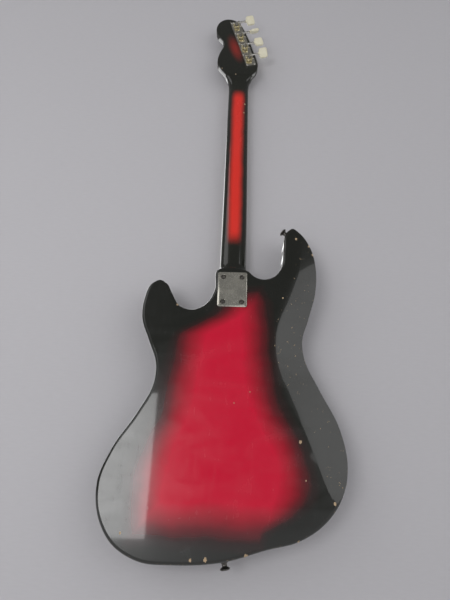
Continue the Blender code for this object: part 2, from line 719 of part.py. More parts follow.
def strap_buttons():
    flange = STRAP_BUTTON_DIAMETER / 2
    waist = flange * 0.52
    height = STRAP_BUTTON_HEIGHT
    bore_radius = STRAP_SCREW_DIAMETER / 2 + GAP
    seat = STRAP_SCREW_DIAMETER * 0.95 + GAP
    button = [(seat, height), (flange * 0.85, height), (flange, height - 0.001), (flange, height - 0.0022),
              (waist, height - 0.0045), (waist, 0.0035), (flange * 0.72, 0.0015), (flange * 0.72, 0.0),
              (bore_radius, 0.0), (bore_radius, height - 0.0035), (seat, height - 0.0016)]
    head = STRAP_SCREW_DIAMETER * 0.95
    shank = STRAP_SCREW_DIAMETER / 2
    screw = [(0, height + 0.0009), (head * 0.6, height + 0.0006), (head, height - 0.0004),
             (head, height - 0.0013), (shank, height - 0.0032), (shank, -STRAP_SCREW_LENGTH + 0.005),
             (0, -STRAP_SCREW_LENGTH)]
    for place, frame in strap_frames().items():
        raised = frame @ at(0, 0, GAP)
        shade_round(turned(f"strap_button_{place}", button, raised, DARK_STEEL, 12))
        turned(f"strap_screw_{place}", screw, raised, DARK_STEEL, 10)


def tuner_place(index):
    """Place of a tuner along the strip, from its middle; the bass string's is nearest the nut."""
    return (index - 1.5) * TUNER_PITCH


def post_frame(index, y):
    """Frame of a string post: Z along +Y, at the given depth."""
    return STRIP_FRAME @ at(0, y, tuner_place(index)) @ FACING_BACK


def worm_frame(index):
    """Frame of a worm: Z along the shaft to the button, X towards the head's tip."""
    return (STRIP_FRAME @ at(0, WORM_Y, tuner_place(index) + WORM_OFFSET)
            @ Matrix.Rotation(math.radians(-90), 4, "Y"))


def tuner_plate():
    """Strip with a folded edge and two bearing ears for each worm shaft."""
    low = tuner_place(0) - STRIP_BOTTOM_MARGIN
    high = tuner_place(3) + STRIP_TOP_MARGIN
    left = -STRIP_WIDTH / 2
    right = STRIP_WIDTH / 2
    outline = [(left, low), (right, low), (right, high), (left, high)]
    holes = [circle(POST_SHAFT_DIAMETER / 2 + GAP, 12, (0, tuner_place(i))) for i in range(4)]
    front = HEAD_BACK + GAP
    frame = STRIP_FRAME @ FACING_FRONT
    plate = flat_solid("tuner_plate", [outline, *holes], -STRIP_BACK, -front, CHROME, frame)

    fold = flat_solid("strip_fold", [[(right - STRIP_THICKNESS, low), (right, low), (right, high),
                                      (right - STRIP_THICKNESS, high)]],
                      -STRIP_BACK - STRIP_FOLD_HEIGHT, -front - STRIP_THICKNESS / 2, None, frame)
    boolean(plate, fold, "UNION")

    half = EAR_WIDTH / 2
    foot = front + STRIP_THICKNESS / 2 - WORM_Y
    top = WORM_OUTER_RADIUS + 0.0004
    ear = [(-half, foot), (half, foot), (half, top * 0.45), (half * 0.5, top), (-half * 0.5, top),
           (-half, top * 0.45)]
    journal = circle(SHAFT_JOURNAL_RADIUS + GAP, 8)
    ears = []
    for index in range(4):
        for side, middle in (("inner", -EAR_SPAN / 2), ("outer", EAR_SPAN / 2)):
            low_z, high_z = sorted((middle, middle + math.copysign(EAR_THICKNESS, middle)))
            ears.append(flat_solid(f"ear_{side}_{index}", [ear, journal], low_z, high_z, None,
                                   worm_frame(index)))
    boolean(plate, joined_cutter("bearing_ears", ears), "UNION")
    return plate


def string_posts():
    """Post: barrel with a hole for the string's end, shaft through the head, gear seat and end screw."""
    barrel = POST_BARREL_DIAMETER / 2
    shaft = POST_SHAFT_DIAMETER / 2
    seat = POST_SEAT_DIAMETER / 2
    screw = POST_SCREW_HEAD / 2
    shoulder = GEAR_FRONT - GAP
    hole = STRING_DIAMETERS[0] / 2 + 2 * GAP
    profile = [(0, GEAR_BACK + 0.0020), (screw, GEAR_BACK + 0.0012), (screw, GEAR_BACK + GAP), (seat, GEAR_BACK + GAP), (seat, shoulder), (shaft, shoulder),
               (shaft, BUSHING_FACE - GAP), (barrel, BUSHING_FACE - GAP),
               (barrel * 0.94, (BUSHING_FACE + POST_TOP) / 2), (barrel, POST_TOP),
               (hole + 0.0013, POST_TOP), (hole, POST_TOP + 0.0018), (hole, POST_TOP + 0.0050),
               (0, POST_TOP + 0.0050)]
    for index, name in enumerate(STRING_NAMES):
        shade_round(turned(f"string_post_{name}", profile, post_frame(index, 0), STEEL, 12))


def post_bushings():
    inner = POST_SHAFT_DIAMETER / 2 + GAP
    outer = inner + BUSHING_WALL
    face = HEAD_FACE - GAP
    flange = BUSHING_FLANGE / 2
    profile = [(inner, HEAD_FACE + BUSHING_DEPTH), (outer, HEAD_FACE + BUSHING_DEPTH), (outer, face),
               (flange, face), (flange, face - 0.0006), (flange - 0.0008, BUSHING_FACE), (inner, BUSHING_FACE)]
    for index, name in enumerate(STRING_NAMES):
        turned(f"post_bushing_{name}", profile, post_frame(index, 0), CHROME, 12)


def tuner_gears():
    """Gear wheel whose teeth lean with the worm's lead, with its bore and hub."""
    tip, root = 0.000225, 0.000525
    teeth = []
    for tooth in range(GEAR_TEETH):
        middle = 2 * math.pi * tooth / GEAR_TEETH
        for radius, half in ((GEAR_ROOT_RADIUS, -root), (GEAR_OUTER_RADIUS, -tip),
                             (GEAR_OUTER_RADIUS, tip), (GEAR_ROOT_RADIUS, root)):
            angle = middle + half / radius
            teeth.append((radius, angle))
    lead = WORM_PITCH / (2 * math.pi * WORM_MEAN_RADIUS) / GEAR_PITCH_RADIUS
    rings = []
    for y in (-GEAR_THICKNESS / 2, GEAR_THICKNESS / 2):
        rings.append([(radius * math.cos(angle + lead * y), radius * math.sin(angle + lead * y), y)
                      for radius, angle in teeth])
    for index, name in enumerate(STRING_NAMES):
        frame = post_frame(index, WORM_Y) @ Matrix.Rotation(math.radians(-90), 4, "Z")
        gear = lofted(f"tuner_gear_{name}", rings, frame, BRASS)
        radius = POST_SEAT_DIAMETER / 2 + GAP
        boolean(gear, bore(f"gear_bore_{name}", radius, -GEAR_THICKNESS, GEAR_THICKNESS, frame, 10))
        dish = GEAR_ROOT_RADIUS - 0.0016
        boolean(gear, bore(f"gear_dish_{name}", dish, GEAR_THICKNESS / 2 - 0.0006, GEAR_THICKNESS,
                           frame, 14))


def worm_ring(z, radii, turn):
    """Ring of the worm's eight columns, turned by the thread's angle."""
    columns = (-36.8, 0.0, 36.8, 85.9, 132.9, 180.0, 227.1, 274.1)
    return [(radius * math.cos(math.radians(column) + turn), radius * math.sin(math.radians(column) + turn), z)
            for radius, column in zip(radii, columns)]


def worm_shafts():
    """Worm with journals, thrust collars and the sleeve that carries the button."""
    journal = SHAFT_JOURNAL_RADIUS
    collar = 0.0026
    ear_in = EAR_SPAN / 2
    ear_out = ear_in + EAR_THICKNESS
    plain = [(-ear_out - 0.0008, journal * 0.8), (-ear_out - 0.0004, journal), (-ear_in + GAP, journal),
             (-ear_in + GAP, collar), (-ear_in + 0.0012, collar), (-ear_in + 0.0012, WORM_ROOT_RADIUS)]
    sleeve_end = BUTTON_CENTRE - BUTTON_LENGTH / 2 - 0.0026
    outer = [(ear_in - 0.0012, WORM_ROOT_RADIUS), (ear_in - 0.0012, collar), (ear_in - GAP, collar),
             (ear_in - GAP, journal), (ear_out + GAP, journal), (ear_out + GAP, SHAFT_SLEEVE_RADIUS),
             (sleeve_end, SHAFT_SLEEVE_RADIUS), (sleeve_end, journal),
             (BUTTON_CENTRE - 0.004, journal), (BUTTON_CENTRE - 0.0035, journal * 0.8)]
    turns = WORM_THREAD_LENGTH / WORM_PITCH
    steps = round(turns * WORM_STEPS_PER_TURN)
    half = WORM_THREAD_LENGTH / 2
    tallest = WORM_OUTER_RADIUS - WORM_ROOT_RADIUS
    rings = [worm_ring(z, [radius] * 8, -2 * math.pi * half / WORM_PITCH) for z, radius in plain]
    for step in range(steps + 1):
        z = -half + WORM_THREAD_LENGTH * step / steps
        run_out = min(1.0, (half - abs(z)) / (WORM_PITCH * 0.35))
        crest = WORM_ROOT_RADIUS + tallest * max(run_out, 0.02)
        radii = [crest] * 3 + [WORM_ROOT_RADIUS] * 5
        rings.append(worm_ring(z, radii, 2 * math.pi * z / WORM_PITCH))
    rings += [worm_ring(z, [radius] * 8, 2 * math.pi * half / WORM_PITCH) for z, radius in outer]
    for index, name in enumerate(STRING_NAMES):
        lofted(f"worm_shaft_{name}", rings, worm_frame(index), STEEL)


def tuner_buttons():
    """Plastic button: a rounded slab with a round boss over the shaft's end."""
    near = BUTTON_CENTRE - BUTTON_LENGTH / 2
    boss_start = near - 0.0022
    hole = SHAFT_JOURNAL_RADIUS + GAP
    for index, (name, degrees) in enumerate(zip(STRING_NAMES, BUTTON_REST_DEGREES)):
        frame = worm_frame(index) @ Matrix.Rotation(math.radians(degrees), 4, "Z")
        slab_frame = frame @ FACING_FRONT
        outline = rounded_rectangle(BUTTON_WIDTH, BUTTON_LENGTH, BUTTON_CORNER, (0, BUTTON_CENTRE), 3)
        button = flat_solid(f"tuner_button_{name}", [outline], -BUTTON_THICKNESS / 2,
                            BUTTON_THICKNESS / 2, CREAM_PLASTIC, slab_frame)
        bevel_edges(button, 0.0014, 1)
        boss = turned(f"button_boss_{name}", [(0, near + 0.006), (0.0026, near + 0.006), (0.0034, near + 0.001),
                                              (0.0031, boss_start), (0, boss_start)], frame, None, 10)
        boolean(button, boss, "UNION")
        boolean(button, bore(f"button_bore_{name}", hole, boss_start - 0.002, BUTTON_CENTRE - 0.003,
                             frame, 8))


def string_height_at_nut(index):
    x = string_x(index, NUT_SPREAD)
    return BOARD_FACE - NUT_ACTION + x * x / (2 * FRETBOARD_RADIUS) - STRING_DIAMETERS[index] / 2


def string_start(index):
    """Centre of a string over the nut's middle."""
    return Vector((string_x(index, NUT_SPREAD), string_height_at_nut(index), NUT_THICKNESS / 2))


def string_route(index):
    """Centre line of a string from its anchor over saddle and nut to the end in its post."""
    radius = STRING_DIAMETERS[index] / 2
    bridge_x = string_x(index, BRIDGE_SPREAD)
    saddle = Vector((bridge_x, -SADDLE_ACTION - radius, SADDLE_Z))
    nut_point = string_start(index)
    anchor_z = SADDLE_Z - BRIDGE_TAIL_REACH
    route = [Vector((bridge_x, -STRING_ANCHOR_HEIGHT, anchor_z - 0.0010)),
             Vector((bridge_x, -STRING_ANCHOR_HEIGHT, anchor_z + BRIDGE_PLATE_THICKNESS + 0.001)),
             saddle + Vector((0, 0.0004, -0.0030)), saddle + Vector((0, -0.0001, 0)),
             saddle + Vector((0, 0, 0.004))]
    route += [saddle.lerp(nut_point, share) for share in (0.25, 0.5, 0.75)]
    route += [nut_point - Vector((0, 0, NUT_THICKNESS / 2)), nut_point + Vector((0, 0.0001, NUT_THICKNESS / 2))]

    post = post_frame(index, 0).translation
    ring = POST_BARREL_DIAMETER / 2 + GAP + radius
    to_nut = Vector((nut_point.x - post.x, nut_point.z - post.z))
    touch = math.atan2(to_nut.y, to_nut.x) + math.acos(ring / to_nut.length)
    pitch = 2 * radius + WINDING_GAP
    lowest = BUSHING_FACE - 3 * GAP - radius
    turns = WINDING_TURNS[index]
    coil_top = lowest - turns * pitch
    top = POST_TOP - 2 * GAP - radius
    bend = ring / 2
    if index >= 2:
        for reach in (-TREE_RADIUS - 0.0015, TREE_RADIUS + 0.0015):
            route.append(Vector((nut_point.x, TREE_UNDERSIDE + GAP + radius, TREE_Z + reach)))
    steps = round(turns * LOOP_POINTS)
    for step in range(steps + 1):
        angle = 2 * math.pi * turns * step / steps
        route.append(Vector((post.x + ring * math.cos(touch + angle), lowest + (coil_top - lowest) * step / steps,
                             post.z + ring * math.sin(touch + angle))))
    begin = touch + 2 * math.pi * turns
    rise_steps = round(LEAD_IN_TURN * LOOP_POINTS)
    rise = coil_top - top
    for step in range(1, rise_steps + 1):
        share = step / rise_steps
        angle = begin + 2 * math.pi * LEAD_IN_TURN * share
        slope = pitch * LEAD_IN_TURN
        lift = slope * share + (rise - slope) * (3 * share**2 - 2 * share**3)
        route.append(Vector((post.x + ring * math.cos(angle), coil_top - lift, post.z + ring * math.sin(angle))))
    end = begin + 2 * math.pi * LEAD_IN_TURN
    for step in range(1, 7):
        share = step / 6
        angle = end + math.radians(100) * share
        inward = ring + (bend * 0.9 - ring) * share**1.5
        route.append(Vector((post.x + inward * math.cos(angle), top - 0.0002 * share,
                             post.z + inward * math.sin(angle))))
    last = end + math.radians(100)
    for degrees in (30, 60, 90):
        swing = math.radians(degrees)
        out = bend * 0.9 * (1 - math.sin(swing))
        route.append(Vector((post.x + out * math.cos(last), top + bend * 0.9 * (1 - math.cos(swing)),
                             post.z + out * math.sin(last))))
    route.append(Vector((post.x, POST_TOP + 0.0040, post.z)))
    return route


def least_self_gap(route, radius):
    """Smallest gap between parts of a string that lie more than half a loop apart."""
    lengths = [0.0]
    for first, second in zip(route, route[1:]):
        lengths.append(lengths[-1] + (second - first).length)
    half_loop = math.pi * (POST_BARREL_DIAMETER / 2 + radius)
    gaps = [(a - b).length - 2 * radius
            for i, a in enumerate(route) for j, b in enumerate(route[:i]) if lengths[i] - lengths[j] > half_loop]
    return min(gaps), lengths[-1]


def strings():
    for index, name in enumerate(STRING_NAMES):
        radius = STRING_DIAMETERS[index] / 2
        route = string_route(index)
        curve = bpy.data.curves.new(f"string_{name}", "CURVE")
        curve.dimensions = "3D"
        curve.bevel_depth = radius
        curve.bevel_resolution = 1
        curve.use_fill_caps = True
        spline = curve.splines.new("POLY")
        spline.points.add(len(route) - 1)
        for point, place in zip(spline.points, route):
            point.co = (*place, 1)
        curve.materials.append(STEEL)
        parts.objects.link(bpy.data.objects.new(f"string_{name}", curve))
        gap, length = least_self_gap(route, radius)
        print(f"string_{name}: length {length:.4f} m, least gap to itself {gap * 1000:.2f} mm")


def string_tree():
    """Round retainer that holds the two thin strings down towards their posts."""
    x = (string_x(2, NUT_SPREAD) + string_x(3, NUT_SPREAD)) / 2
    foot = 0.0022
    profile = [(0, TREE_THICKNESS), (TREE_RADIUS * 0.7, TREE_THICKNESS), (TREE_RADIUS, TREE_THICKNESS * 0.5),
               (TREE_RADIUS, 0), (foot, 0), (foot, TREE_UNDERSIDE - HEAD_FACE + GAP),
               (0, TREE_UNDERSIDE - HEAD_FACE + GAP)]
    turned("string_tree", profile, at(x, TREE_UNDERSIDE, TREE_Z) @ FACING_FRONT, CHROME, 16)


def pickguard():
    back = -GAP
    loops = [smooth_loop(body_points(PICKGUARD_OUTLINE), PICKGUARD_CORNERS)]
    guard = front_solid("pickguard", loops, back - PICKGUARD_THICKNESS, back, BLACK_PLASTIC)
    half = neck_half_width(HEEL_Z) + POCKET_FIT
    notch = [(-half, HEEL_Z - POCKET_FIT), (half, HEEL_Z - POCKET_FIT), (half, 0), (-half, 0)]
    tools = [front_solid("guard_neck_notch", [notch], -0.01, 0.01)]
    for index, distance in enumerate(PICKUP_SADDLE_DISTANCES):
        loop = rounded_rectangle(PICKUP_LENGTH + 2 * GAP, PICKUP_WIDTH + 2 * GAP, 0.003,
                                 (0, pickup_z(distance)))
        tools.append(front_solid(f"guard_pickup_hole_{index}", [loop], -0.01, 0.01))
    for place in (VOLUME_POT, TONE_POT):
        x, z = control_place(place)
        tools.append(bore("guard_pot_hole", POT_BUSH_DIAMETER / 2 + GAP, -0.01, 0.01, at(x, 0, z) @ FACING_BACK))
    x, z = control_place(OUTPUT_JACK)
    tools.append(bore("guard_jack_hole", JACK_BUSH_DIAMETER / 2 + GAP, -0.01, 0.01, at(x, 0, z) @ FACING_BACK))
    boolean(guard, joined_cutter("pickguard_holes", tools))
    return guard


def pickups():
    """Each pickup is a moulded cover, open behind, with a wound bobbin inside it."""
    for label, distance in zip(("neck", "bridge"), PICKUP_SADDLE_DISTANCES):
        z = pickup_z(distance)
        top = -PICKUP_HEIGHT_ABOVE_BODY
        bottom = top + PICKUP_DEPTH
        outer = rounded_rectangle(PICKUP_LENGTH, PICKUP_WIDTH, 0.003, (0, z))
        cover = front_solid(f"pickup_cover_{label}", [outer], top, bottom, BLACK_PLASTIC)
        bevel_edges(cover, 0.001, 1)
        room = rounded_rectangle(PICKUP_LENGTH - 2 * PICKUP_WALL, PICKUP_WIDTH - 2 * PICKUP_WALL, 0.002, (0, z))
        boolean(cover, front_solid(f"pickup_room_{label}", [room], top + PICKUP_WALL, bottom + 0.01))

        length = PICKUP_LENGTH - 2 * PICKUP_WALL - 2 * GAP
        width = PICKUP_WIDTH - 2 * PICKUP_WALL - 2 * GAP
        rings = []
        for y, inset in ((0, 0), (0.0015, 0), (0.0015, 0.003), (0.0095, 0.003), (0.0095, 0), (0.011, 0)):
            loop = rounded_rectangle(length - inset * 2, width - inset * 2, 0.004, (0, z), 3)
            rings.append([(px, top + PICKUP_WALL + GAP + y, pz) for px, pz in loop])
        lofted(f"pickup_bobbin_{label}", rings, material=COPPER)


def controls():
    """Potentiometer, shaft and knob for volume and tone; the shaft and knob turn together."""
    guard_face = -GAP - PICKGUARD_THICKNESS
    bush = POT_BUSH_DIAMETER / 2
    shaft = POT_SHAFT_DIAMETER / 2
    can = POT_DIAMETER / 2
    knob = KNOB_DIAMETER / 2
    bore_radius = shaft + GAP
    bush_top = 0.0035
    shaft_top = bush_top + 0.0100
    can_top = -PICKGUARD_THICKNESS - GAP
    pot = [(bore_radius, bush_top), (bush, bush_top), (bush, can_top), (can, can_top),
           (can, can_top - POT_DEPTH + 0.001), (can - 0.001, can_top - POT_DEPTH),
           (bore_radius, can_top - POT_DEPTH)]
    stem = [(0, shaft_top), (shaft - 0.0004, shaft_top), (shaft, shaft_top - 0.0004),
            (shaft, can_top - POT_DEPTH + GAP), (0, can_top - POT_DEPTH + GAP)]
    skirt = bush_top + 3 * GAP
    cap = [(0, skirt + KNOB_HEIGHT), (knob * 0.78, skirt + KNOB_HEIGHT), (knob * 0.86, skirt + KNOB_HEIGHT - 0.001),
           (knob * 0.88, skirt + 0.005), (knob, skirt + 0.0025), (knob, skirt), (bore_radius, skirt),
           (bore_radius, shaft_top + GAP), (0, shaft_top + GAP)]
    for label, place in (("volume", VOLUME_POT), ("tone", TONE_POT)):
        x, z = control_place(place)
        frame = at(x, guard_face, z) @ FACING_FRONT
        turned(f"{label}_pot", pot, frame, STEEL, 12)
        turned(f"{label}_shaft", stem, frame, STEEL, 10)
        shade_round(turned(f"{label}_knob", cap, frame, BLACK_PLASTIC, 16))


def output_jack():
    """Open jack bushing with a flange behind the guard, and its nut in front."""
    x, z = control_place(OUTPUT_JACK)
    frame = at(x, -GAP - PICKGUARD_THICKNESS, z) @ FACING_FRONT
    hole = JACK_BORE / 2
    bush = JACK_BUSH_DIAMETER / 2
    behind = -PICKGUARD_THICKNESS - GAP
    profile = [(hole, 0.0040), (bush, 0.0040), (bush, behind), (bush + 0.0025, behind),
               (bush + 0.0025, behind - 0.002), (hole + 0.0009, behind - 0.002),
               (hole + 0.0009, 0.0040 - JACK_LENGTH), (hole, 0.0040 - JACK_LENGTH)]
    turned("output_jack", profile, frame, CHROME, 12)
    nut_loops = [circle(bush + 0.0028, 6), circle(bush + GAP, 12)]
    flat_solid("jack_nut", nut_loops, GAP, 0.0024, CHROME, frame)


def bridge():
    """Bent bridge plate, two barrel saddles and their intonation screws."""
    low = SADDLE_Z - BRIDGE_TAIL_REACH
    high = SADDLE_Z + BRIDGE_FRONT_REACH
    face = -GAP - BRIDGE_PLATE_THICKNESS
    middle = (low + high) / 2
    loop = rounded_rectangle(BRIDGE_WIDTH, high - low, 0.003, (0, middle), 2)
    plate = front_solid("bridge_plate", [loop], face, -GAP, CHROME)
    flange_face = -GAP - BRIDGE_FLANGE_HEIGHT
    half = BRIDGE_WIDTH / 2 - 0.003
    flange = flat_solid("bridge_flange", [[(-half, flange_face), (half, flange_face), (half, face + 0.001),
                                           (-half, face + 0.001)]],
                        low, low + BRIDGE_PLATE_THICKNESS)
    boolean(plate, flange, "UNION")
    holes = []
    for index, diameter in enumerate(STRING_DIAMETERS):
        place = at(string_x(index, BRIDGE_SPREAD), -STRING_ANCHOR_HEIGHT, low)
        holes.append(bore(f"string_hole_{index}", diameter / 2 + GAP, -0.01, 0.01, place, 8))

    barrel = SADDLE_DIAMETER / 2
    groove = barrel - SADDLE_GROOVE_DEPTH
    saddle_y = -SADDLE_ACTION + GAP + groove
    screw = BRIDGE_SCREW_DIAMETER / 2
    for label, pair in (("bass", (0, 1)), ("treble", (2, 3))):
        places = [string_x(index, BRIDGE_SPREAD) for index in pair]
        centre = sum(places) / 2
        end = (places[1] - places[0]) / 2 + SADDLE_END_MARGIN
        profile = [(0, end), (barrel - 0.0005, end), (barrel, end - 0.0005)]
        for place in reversed(places):
            offset = place - centre
            profile += [(barrel, offset + 0.0022), (groove, offset + 0.0010), (groove, offset - 0.0010),
                        (barrel, offset - 0.0022)]
        profile += [(barrel, -end + 0.0005), (barrel - 0.0005, -end), (0, -end)]
        saddle = turned(f"saddle_{label}", profile, at(centre, saddle_y, SADDLE_Z) @ ALONG_X, STEEL, 12)
        line = at(centre, saddle_y, low)
        boolean(saddle, bore(f"saddle_thread_{label}", screw + GAP, 0.01, 0.05, line, 8))
        holes.append(bore(f"flange_hole_{label}", screw + GAP, -0.01, 0.01, line, 8))
        head = screw * 1.8
        tip = BRIDGE_TAIL_REACH + barrel + 0.001
        spindle = [(0, tip), (screw, tip - 0.0005), (screw, -GAP), (head, -GAP), (head, -0.0020),
                   (head * 0.7, -0.0026), (0, -0.0026)]
        turned(f"intonation_screw_{label}", spindle, line, STEEL, 10)
    boolean(plate, joined_cutter("bridge_holes", holes))


body()
neck()
fretboard()
nut()
truss_rod()
neck_plate()
neck_screws()
strap_buttons()
tuner_plate()
string_posts()
post_bushings()
tuner_gears()
worm_shafts()
tuner_buttons()
strings()
string_tree()
pickguard()
pickups()
controls()
output_jack()
bridge()
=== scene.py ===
# %% [markdown]
# # An electric bass guitar, seen from behind
# The bass hangs upright by its head: the neck runs up the Z axis, the back of the body looks
# along +Y and the strings face -Y. The construction comes as a fixed frame of solids, and this
# lesson gives every surface its finish and adds the small parts that a maker screws on last.

# %% Load the frame
import json
import math

import bmesh
import bpy
from mathutils import Matrix, Vector


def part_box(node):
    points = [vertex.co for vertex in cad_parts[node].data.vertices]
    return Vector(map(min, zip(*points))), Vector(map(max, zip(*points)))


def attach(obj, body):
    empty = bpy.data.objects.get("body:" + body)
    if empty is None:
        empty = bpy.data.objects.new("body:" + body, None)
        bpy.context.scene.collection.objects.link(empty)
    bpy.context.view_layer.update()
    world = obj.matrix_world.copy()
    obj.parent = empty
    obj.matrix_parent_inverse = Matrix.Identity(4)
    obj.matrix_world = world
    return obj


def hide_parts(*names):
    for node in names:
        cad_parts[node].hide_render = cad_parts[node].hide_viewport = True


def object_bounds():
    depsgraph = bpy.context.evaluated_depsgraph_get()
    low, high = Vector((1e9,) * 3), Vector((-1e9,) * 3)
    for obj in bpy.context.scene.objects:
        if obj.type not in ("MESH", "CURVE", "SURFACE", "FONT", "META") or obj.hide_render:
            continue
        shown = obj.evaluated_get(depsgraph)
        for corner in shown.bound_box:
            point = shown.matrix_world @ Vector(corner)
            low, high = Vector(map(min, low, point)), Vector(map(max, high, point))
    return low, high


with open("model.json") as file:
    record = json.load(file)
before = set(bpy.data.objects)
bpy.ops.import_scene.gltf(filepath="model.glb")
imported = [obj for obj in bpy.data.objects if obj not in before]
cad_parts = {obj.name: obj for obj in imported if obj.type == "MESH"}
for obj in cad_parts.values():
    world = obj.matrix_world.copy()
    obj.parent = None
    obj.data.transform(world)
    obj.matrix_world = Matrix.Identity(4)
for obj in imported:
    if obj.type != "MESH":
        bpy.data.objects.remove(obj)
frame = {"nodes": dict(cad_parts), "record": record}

cad_box = [list(corner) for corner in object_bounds()]
MM = 0.001

# %% [markdown]
# ## Camera
# The picture was taken by someone who stood at the tail and looked along the neck, so the body
# is large and the head small. The camera gets that place from three facts: its foot on the
# plane of the body's back, its distance from that plane, and the direction it looks in.

# %% Place the camera
BODY_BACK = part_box("body")[1].y
CAMERA_OFF_BACK = 0.7115
CAMERA_PLACE = Vector((0.0019, BODY_BACK + CAMERA_OFF_BACK, -0.832))
CAMERA_AHEAD = Vector((0.0132, -0.9239, 0.3825)).normalized()
CAMERA_UP = Vector((0.0319, 0.3827, 0.9233))
IMAGE_WIDTH, IMAGE_HEIGHT = 450, 600
SENSOR, LENS = 36.0, 27.18

camera = bpy.data.objects.new("camera", bpy.data.cameras.new("camera"))
bpy.context.scene.collection.objects.link(camera)
right = CAMERA_AHEAD.cross(CAMERA_UP).normalized()
up = right.cross(CAMERA_AHEAD)
turn = Matrix((right, up, -CAMERA_AHEAD)).transposed()
camera.matrix_world = Matrix.Translation(CAMERA_PLACE) @ turn.to_4x4()
camera.data.lens = LENS
camera.data.sensor_width = SENSOR
bpy.context.scene.camera = camera


def on_back(pixel_x, pixel_y):
    """Where the line of sight through a pixel meets the plane of the body's back."""
    reach = LENS / SENSOR * IMAGE_HEIGHT
    across, rise = pixel_x - IMAGE_WIDTH / 2, IMAGE_HEIGHT / 2 - pixel_y
    sight = (right * across + up * rise + CAMERA_AHEAD * reach).normalized()
    return CAMERA_PLACE + sight * ((BODY_BACK - CAMERA_PLACE.y) / sight.y)


TAIL_PIXEL = (224, 560)
print("tail seen at", tuple(round(value, 3) for value in on_back(*TAIL_PIXEL)))

# %% [markdown]
# ## Shader arithmetic
# A finish is mostly sums: how far a point is from an edge, how strong the wear is there. The
# class below wraps one socket, so that such sums are written as Python expressions and each
# operator adds its Math node.

# %% The class that wraps a socket


class Flow:
    """A node tree's socket, with operators that add Math nodes."""

    def __init__(self, tree, socket=None):
        self.tree = tree
        self.socket = socket

    def node(self, kind, settings=None, inputs=None, output=0):
        """Any node: its settings first, then the values or links of its sockets."""
        made = self.tree.nodes.new(kind)
        for key, value in (settings or {}).items():
            if key == "stops":
                ramp = made.color_ramp
                ends = [value[0], value[-1]]
                for element, (place, colour) in zip(ramp.elements, ends):
                    element.position = place
                    element.color = colour
                for place, colour in value[1:-1]:
                    ramp.elements.new(place).color = colour
            else:
                setattr(made, key, value)
        for key, value in (inputs or {}).items():
            if isinstance(value, Flow):
                self.tree.links.new(value.socket, made.inputs[key])
            else:
                made.inputs[key].default_value = value
        return Flow(self.tree, made.outputs[output])

    def math(self, operation, first, second=0.0):
        return self.node("ShaderNodeMath", {"operation": operation}, {0: first, 1: second})

    def __add__(self, other):
        return self.math("ADD", self, other)

    __radd__ = __add__

    def __sub__(self, other):
        return self.math("SUBTRACT", self, other)

    def __rsub__(self, other):
        return self.math("SUBTRACT", other, self)

    def __mul__(self, other):
        return self.math("MULTIPLY", self, other)

    __rmul__ = __mul__

    def __truediv__(self, other):
        return self.math("DIVIDE", self, other)

    def least(self, other):
        return self.math("MINIMUM", self, other)

    def most(self, other):
        return self.math("MAXIMUM", self, other)

    def step(self, width):
        """0 below zero and 1 above the width, with a smooth rise between."""
        return self.node("ShaderNodeMapRange", {"interpolation_type": "SMOOTHSTEP"},
                         {0: self, 1: 0.0, 2: width, 3: 0.0, 4: 1.0})


print("made:", Flow.__doc__)

# %% [markdown]
# ## A material in one call
# Each finish starts from the same Principled shader. On a dressed solid the object coordinates
# are the frame's own metres, so a stripe or a chip is placed by real sizes and travels with a
# turning part.

# %% Start a material


class Finish:
    """A material with its coordinates ready and its shader's sockets at hand."""

    def __init__(self, name, roughness=0.4, metallic=0.0, coat=0.0, specular=0.5):
        self.material = bpy.data.materials.new(name)
        self.material.use_nodes = True
        self.tree = self.material.node_tree
        self.shader = self.tree.nodes["Principled BSDF"]
        self.flow = Flow(self.tree)
        self.place = self.flow.node("ShaderNodeTexCoord", output="Object")
        split = self.flow.node("ShaderNodeSeparateXYZ", inputs={0: self.place}).socket.node
        self.x, self.y, self.z = (Flow(self.tree, split.outputs[i]) for i in range(3))
        self.shader.inputs["Roughness"].default_value = roughness
        self.shader.inputs["Metallic"].default_value = metallic
        self.shader.inputs["Coat Weight"].default_value = coat
        self.shader.inputs["Coat Roughness"].default_value = 0.04
        self.shader.inputs["Specular IOR Level"].default_value = specular

    def noise(self, size, detail=4.0, stretch=(1.0, 1.0, 1.0), distortion=0.0):
        """Noise of about 0 to 1 whose grains have the size in metres, stretched along the axes."""
        scale = tuple(1.0 / (size * along) for along in stretch)
        grid = self.flow.node("ShaderNodeVectorMath", {"operation": "MULTIPLY"},
                              {0: self.place, 1: scale})
        return self.flow.node("ShaderNodeTexNoise", inputs={
            "Vector": grid, "Scale": 1.0, "Detail": detail, "Distortion": distortion})

    def mix(self, share, first, second):
        """Colour between the first and the second."""
        return self.flow.node("ShaderNodeMix", {"data_type": "RGBA"},
                              {0: share, 6: first, 7: second}, 2)

    def put(self, socket, value):
        self.tree.links.new(value.socket, self.shader.inputs[socket])

    def bump(self, height, depth, strength=1.0):
        """Relief of the given depth in metres."""
        relief = self.flow.node("ShaderNodeBump", inputs={"Height": height, "Distance": depth,
                                                          "Strength": strength})
        self.put("Normal", relief)


def rgba(red, green, blue):
    return (red, green, blue, 1.0)


print("materials so far:", len(bpy.data.materials))

# %% [markdown]
# ## Burst lacquer
# The back is sprayed bright red in the middle, then black from the edges inwards, and covered
# with clear lacquer. The red ends along the path of the spray gun, so its two sides are curves
# over the body's height and the fade is a colour ramp across them. Chips show bare wood.

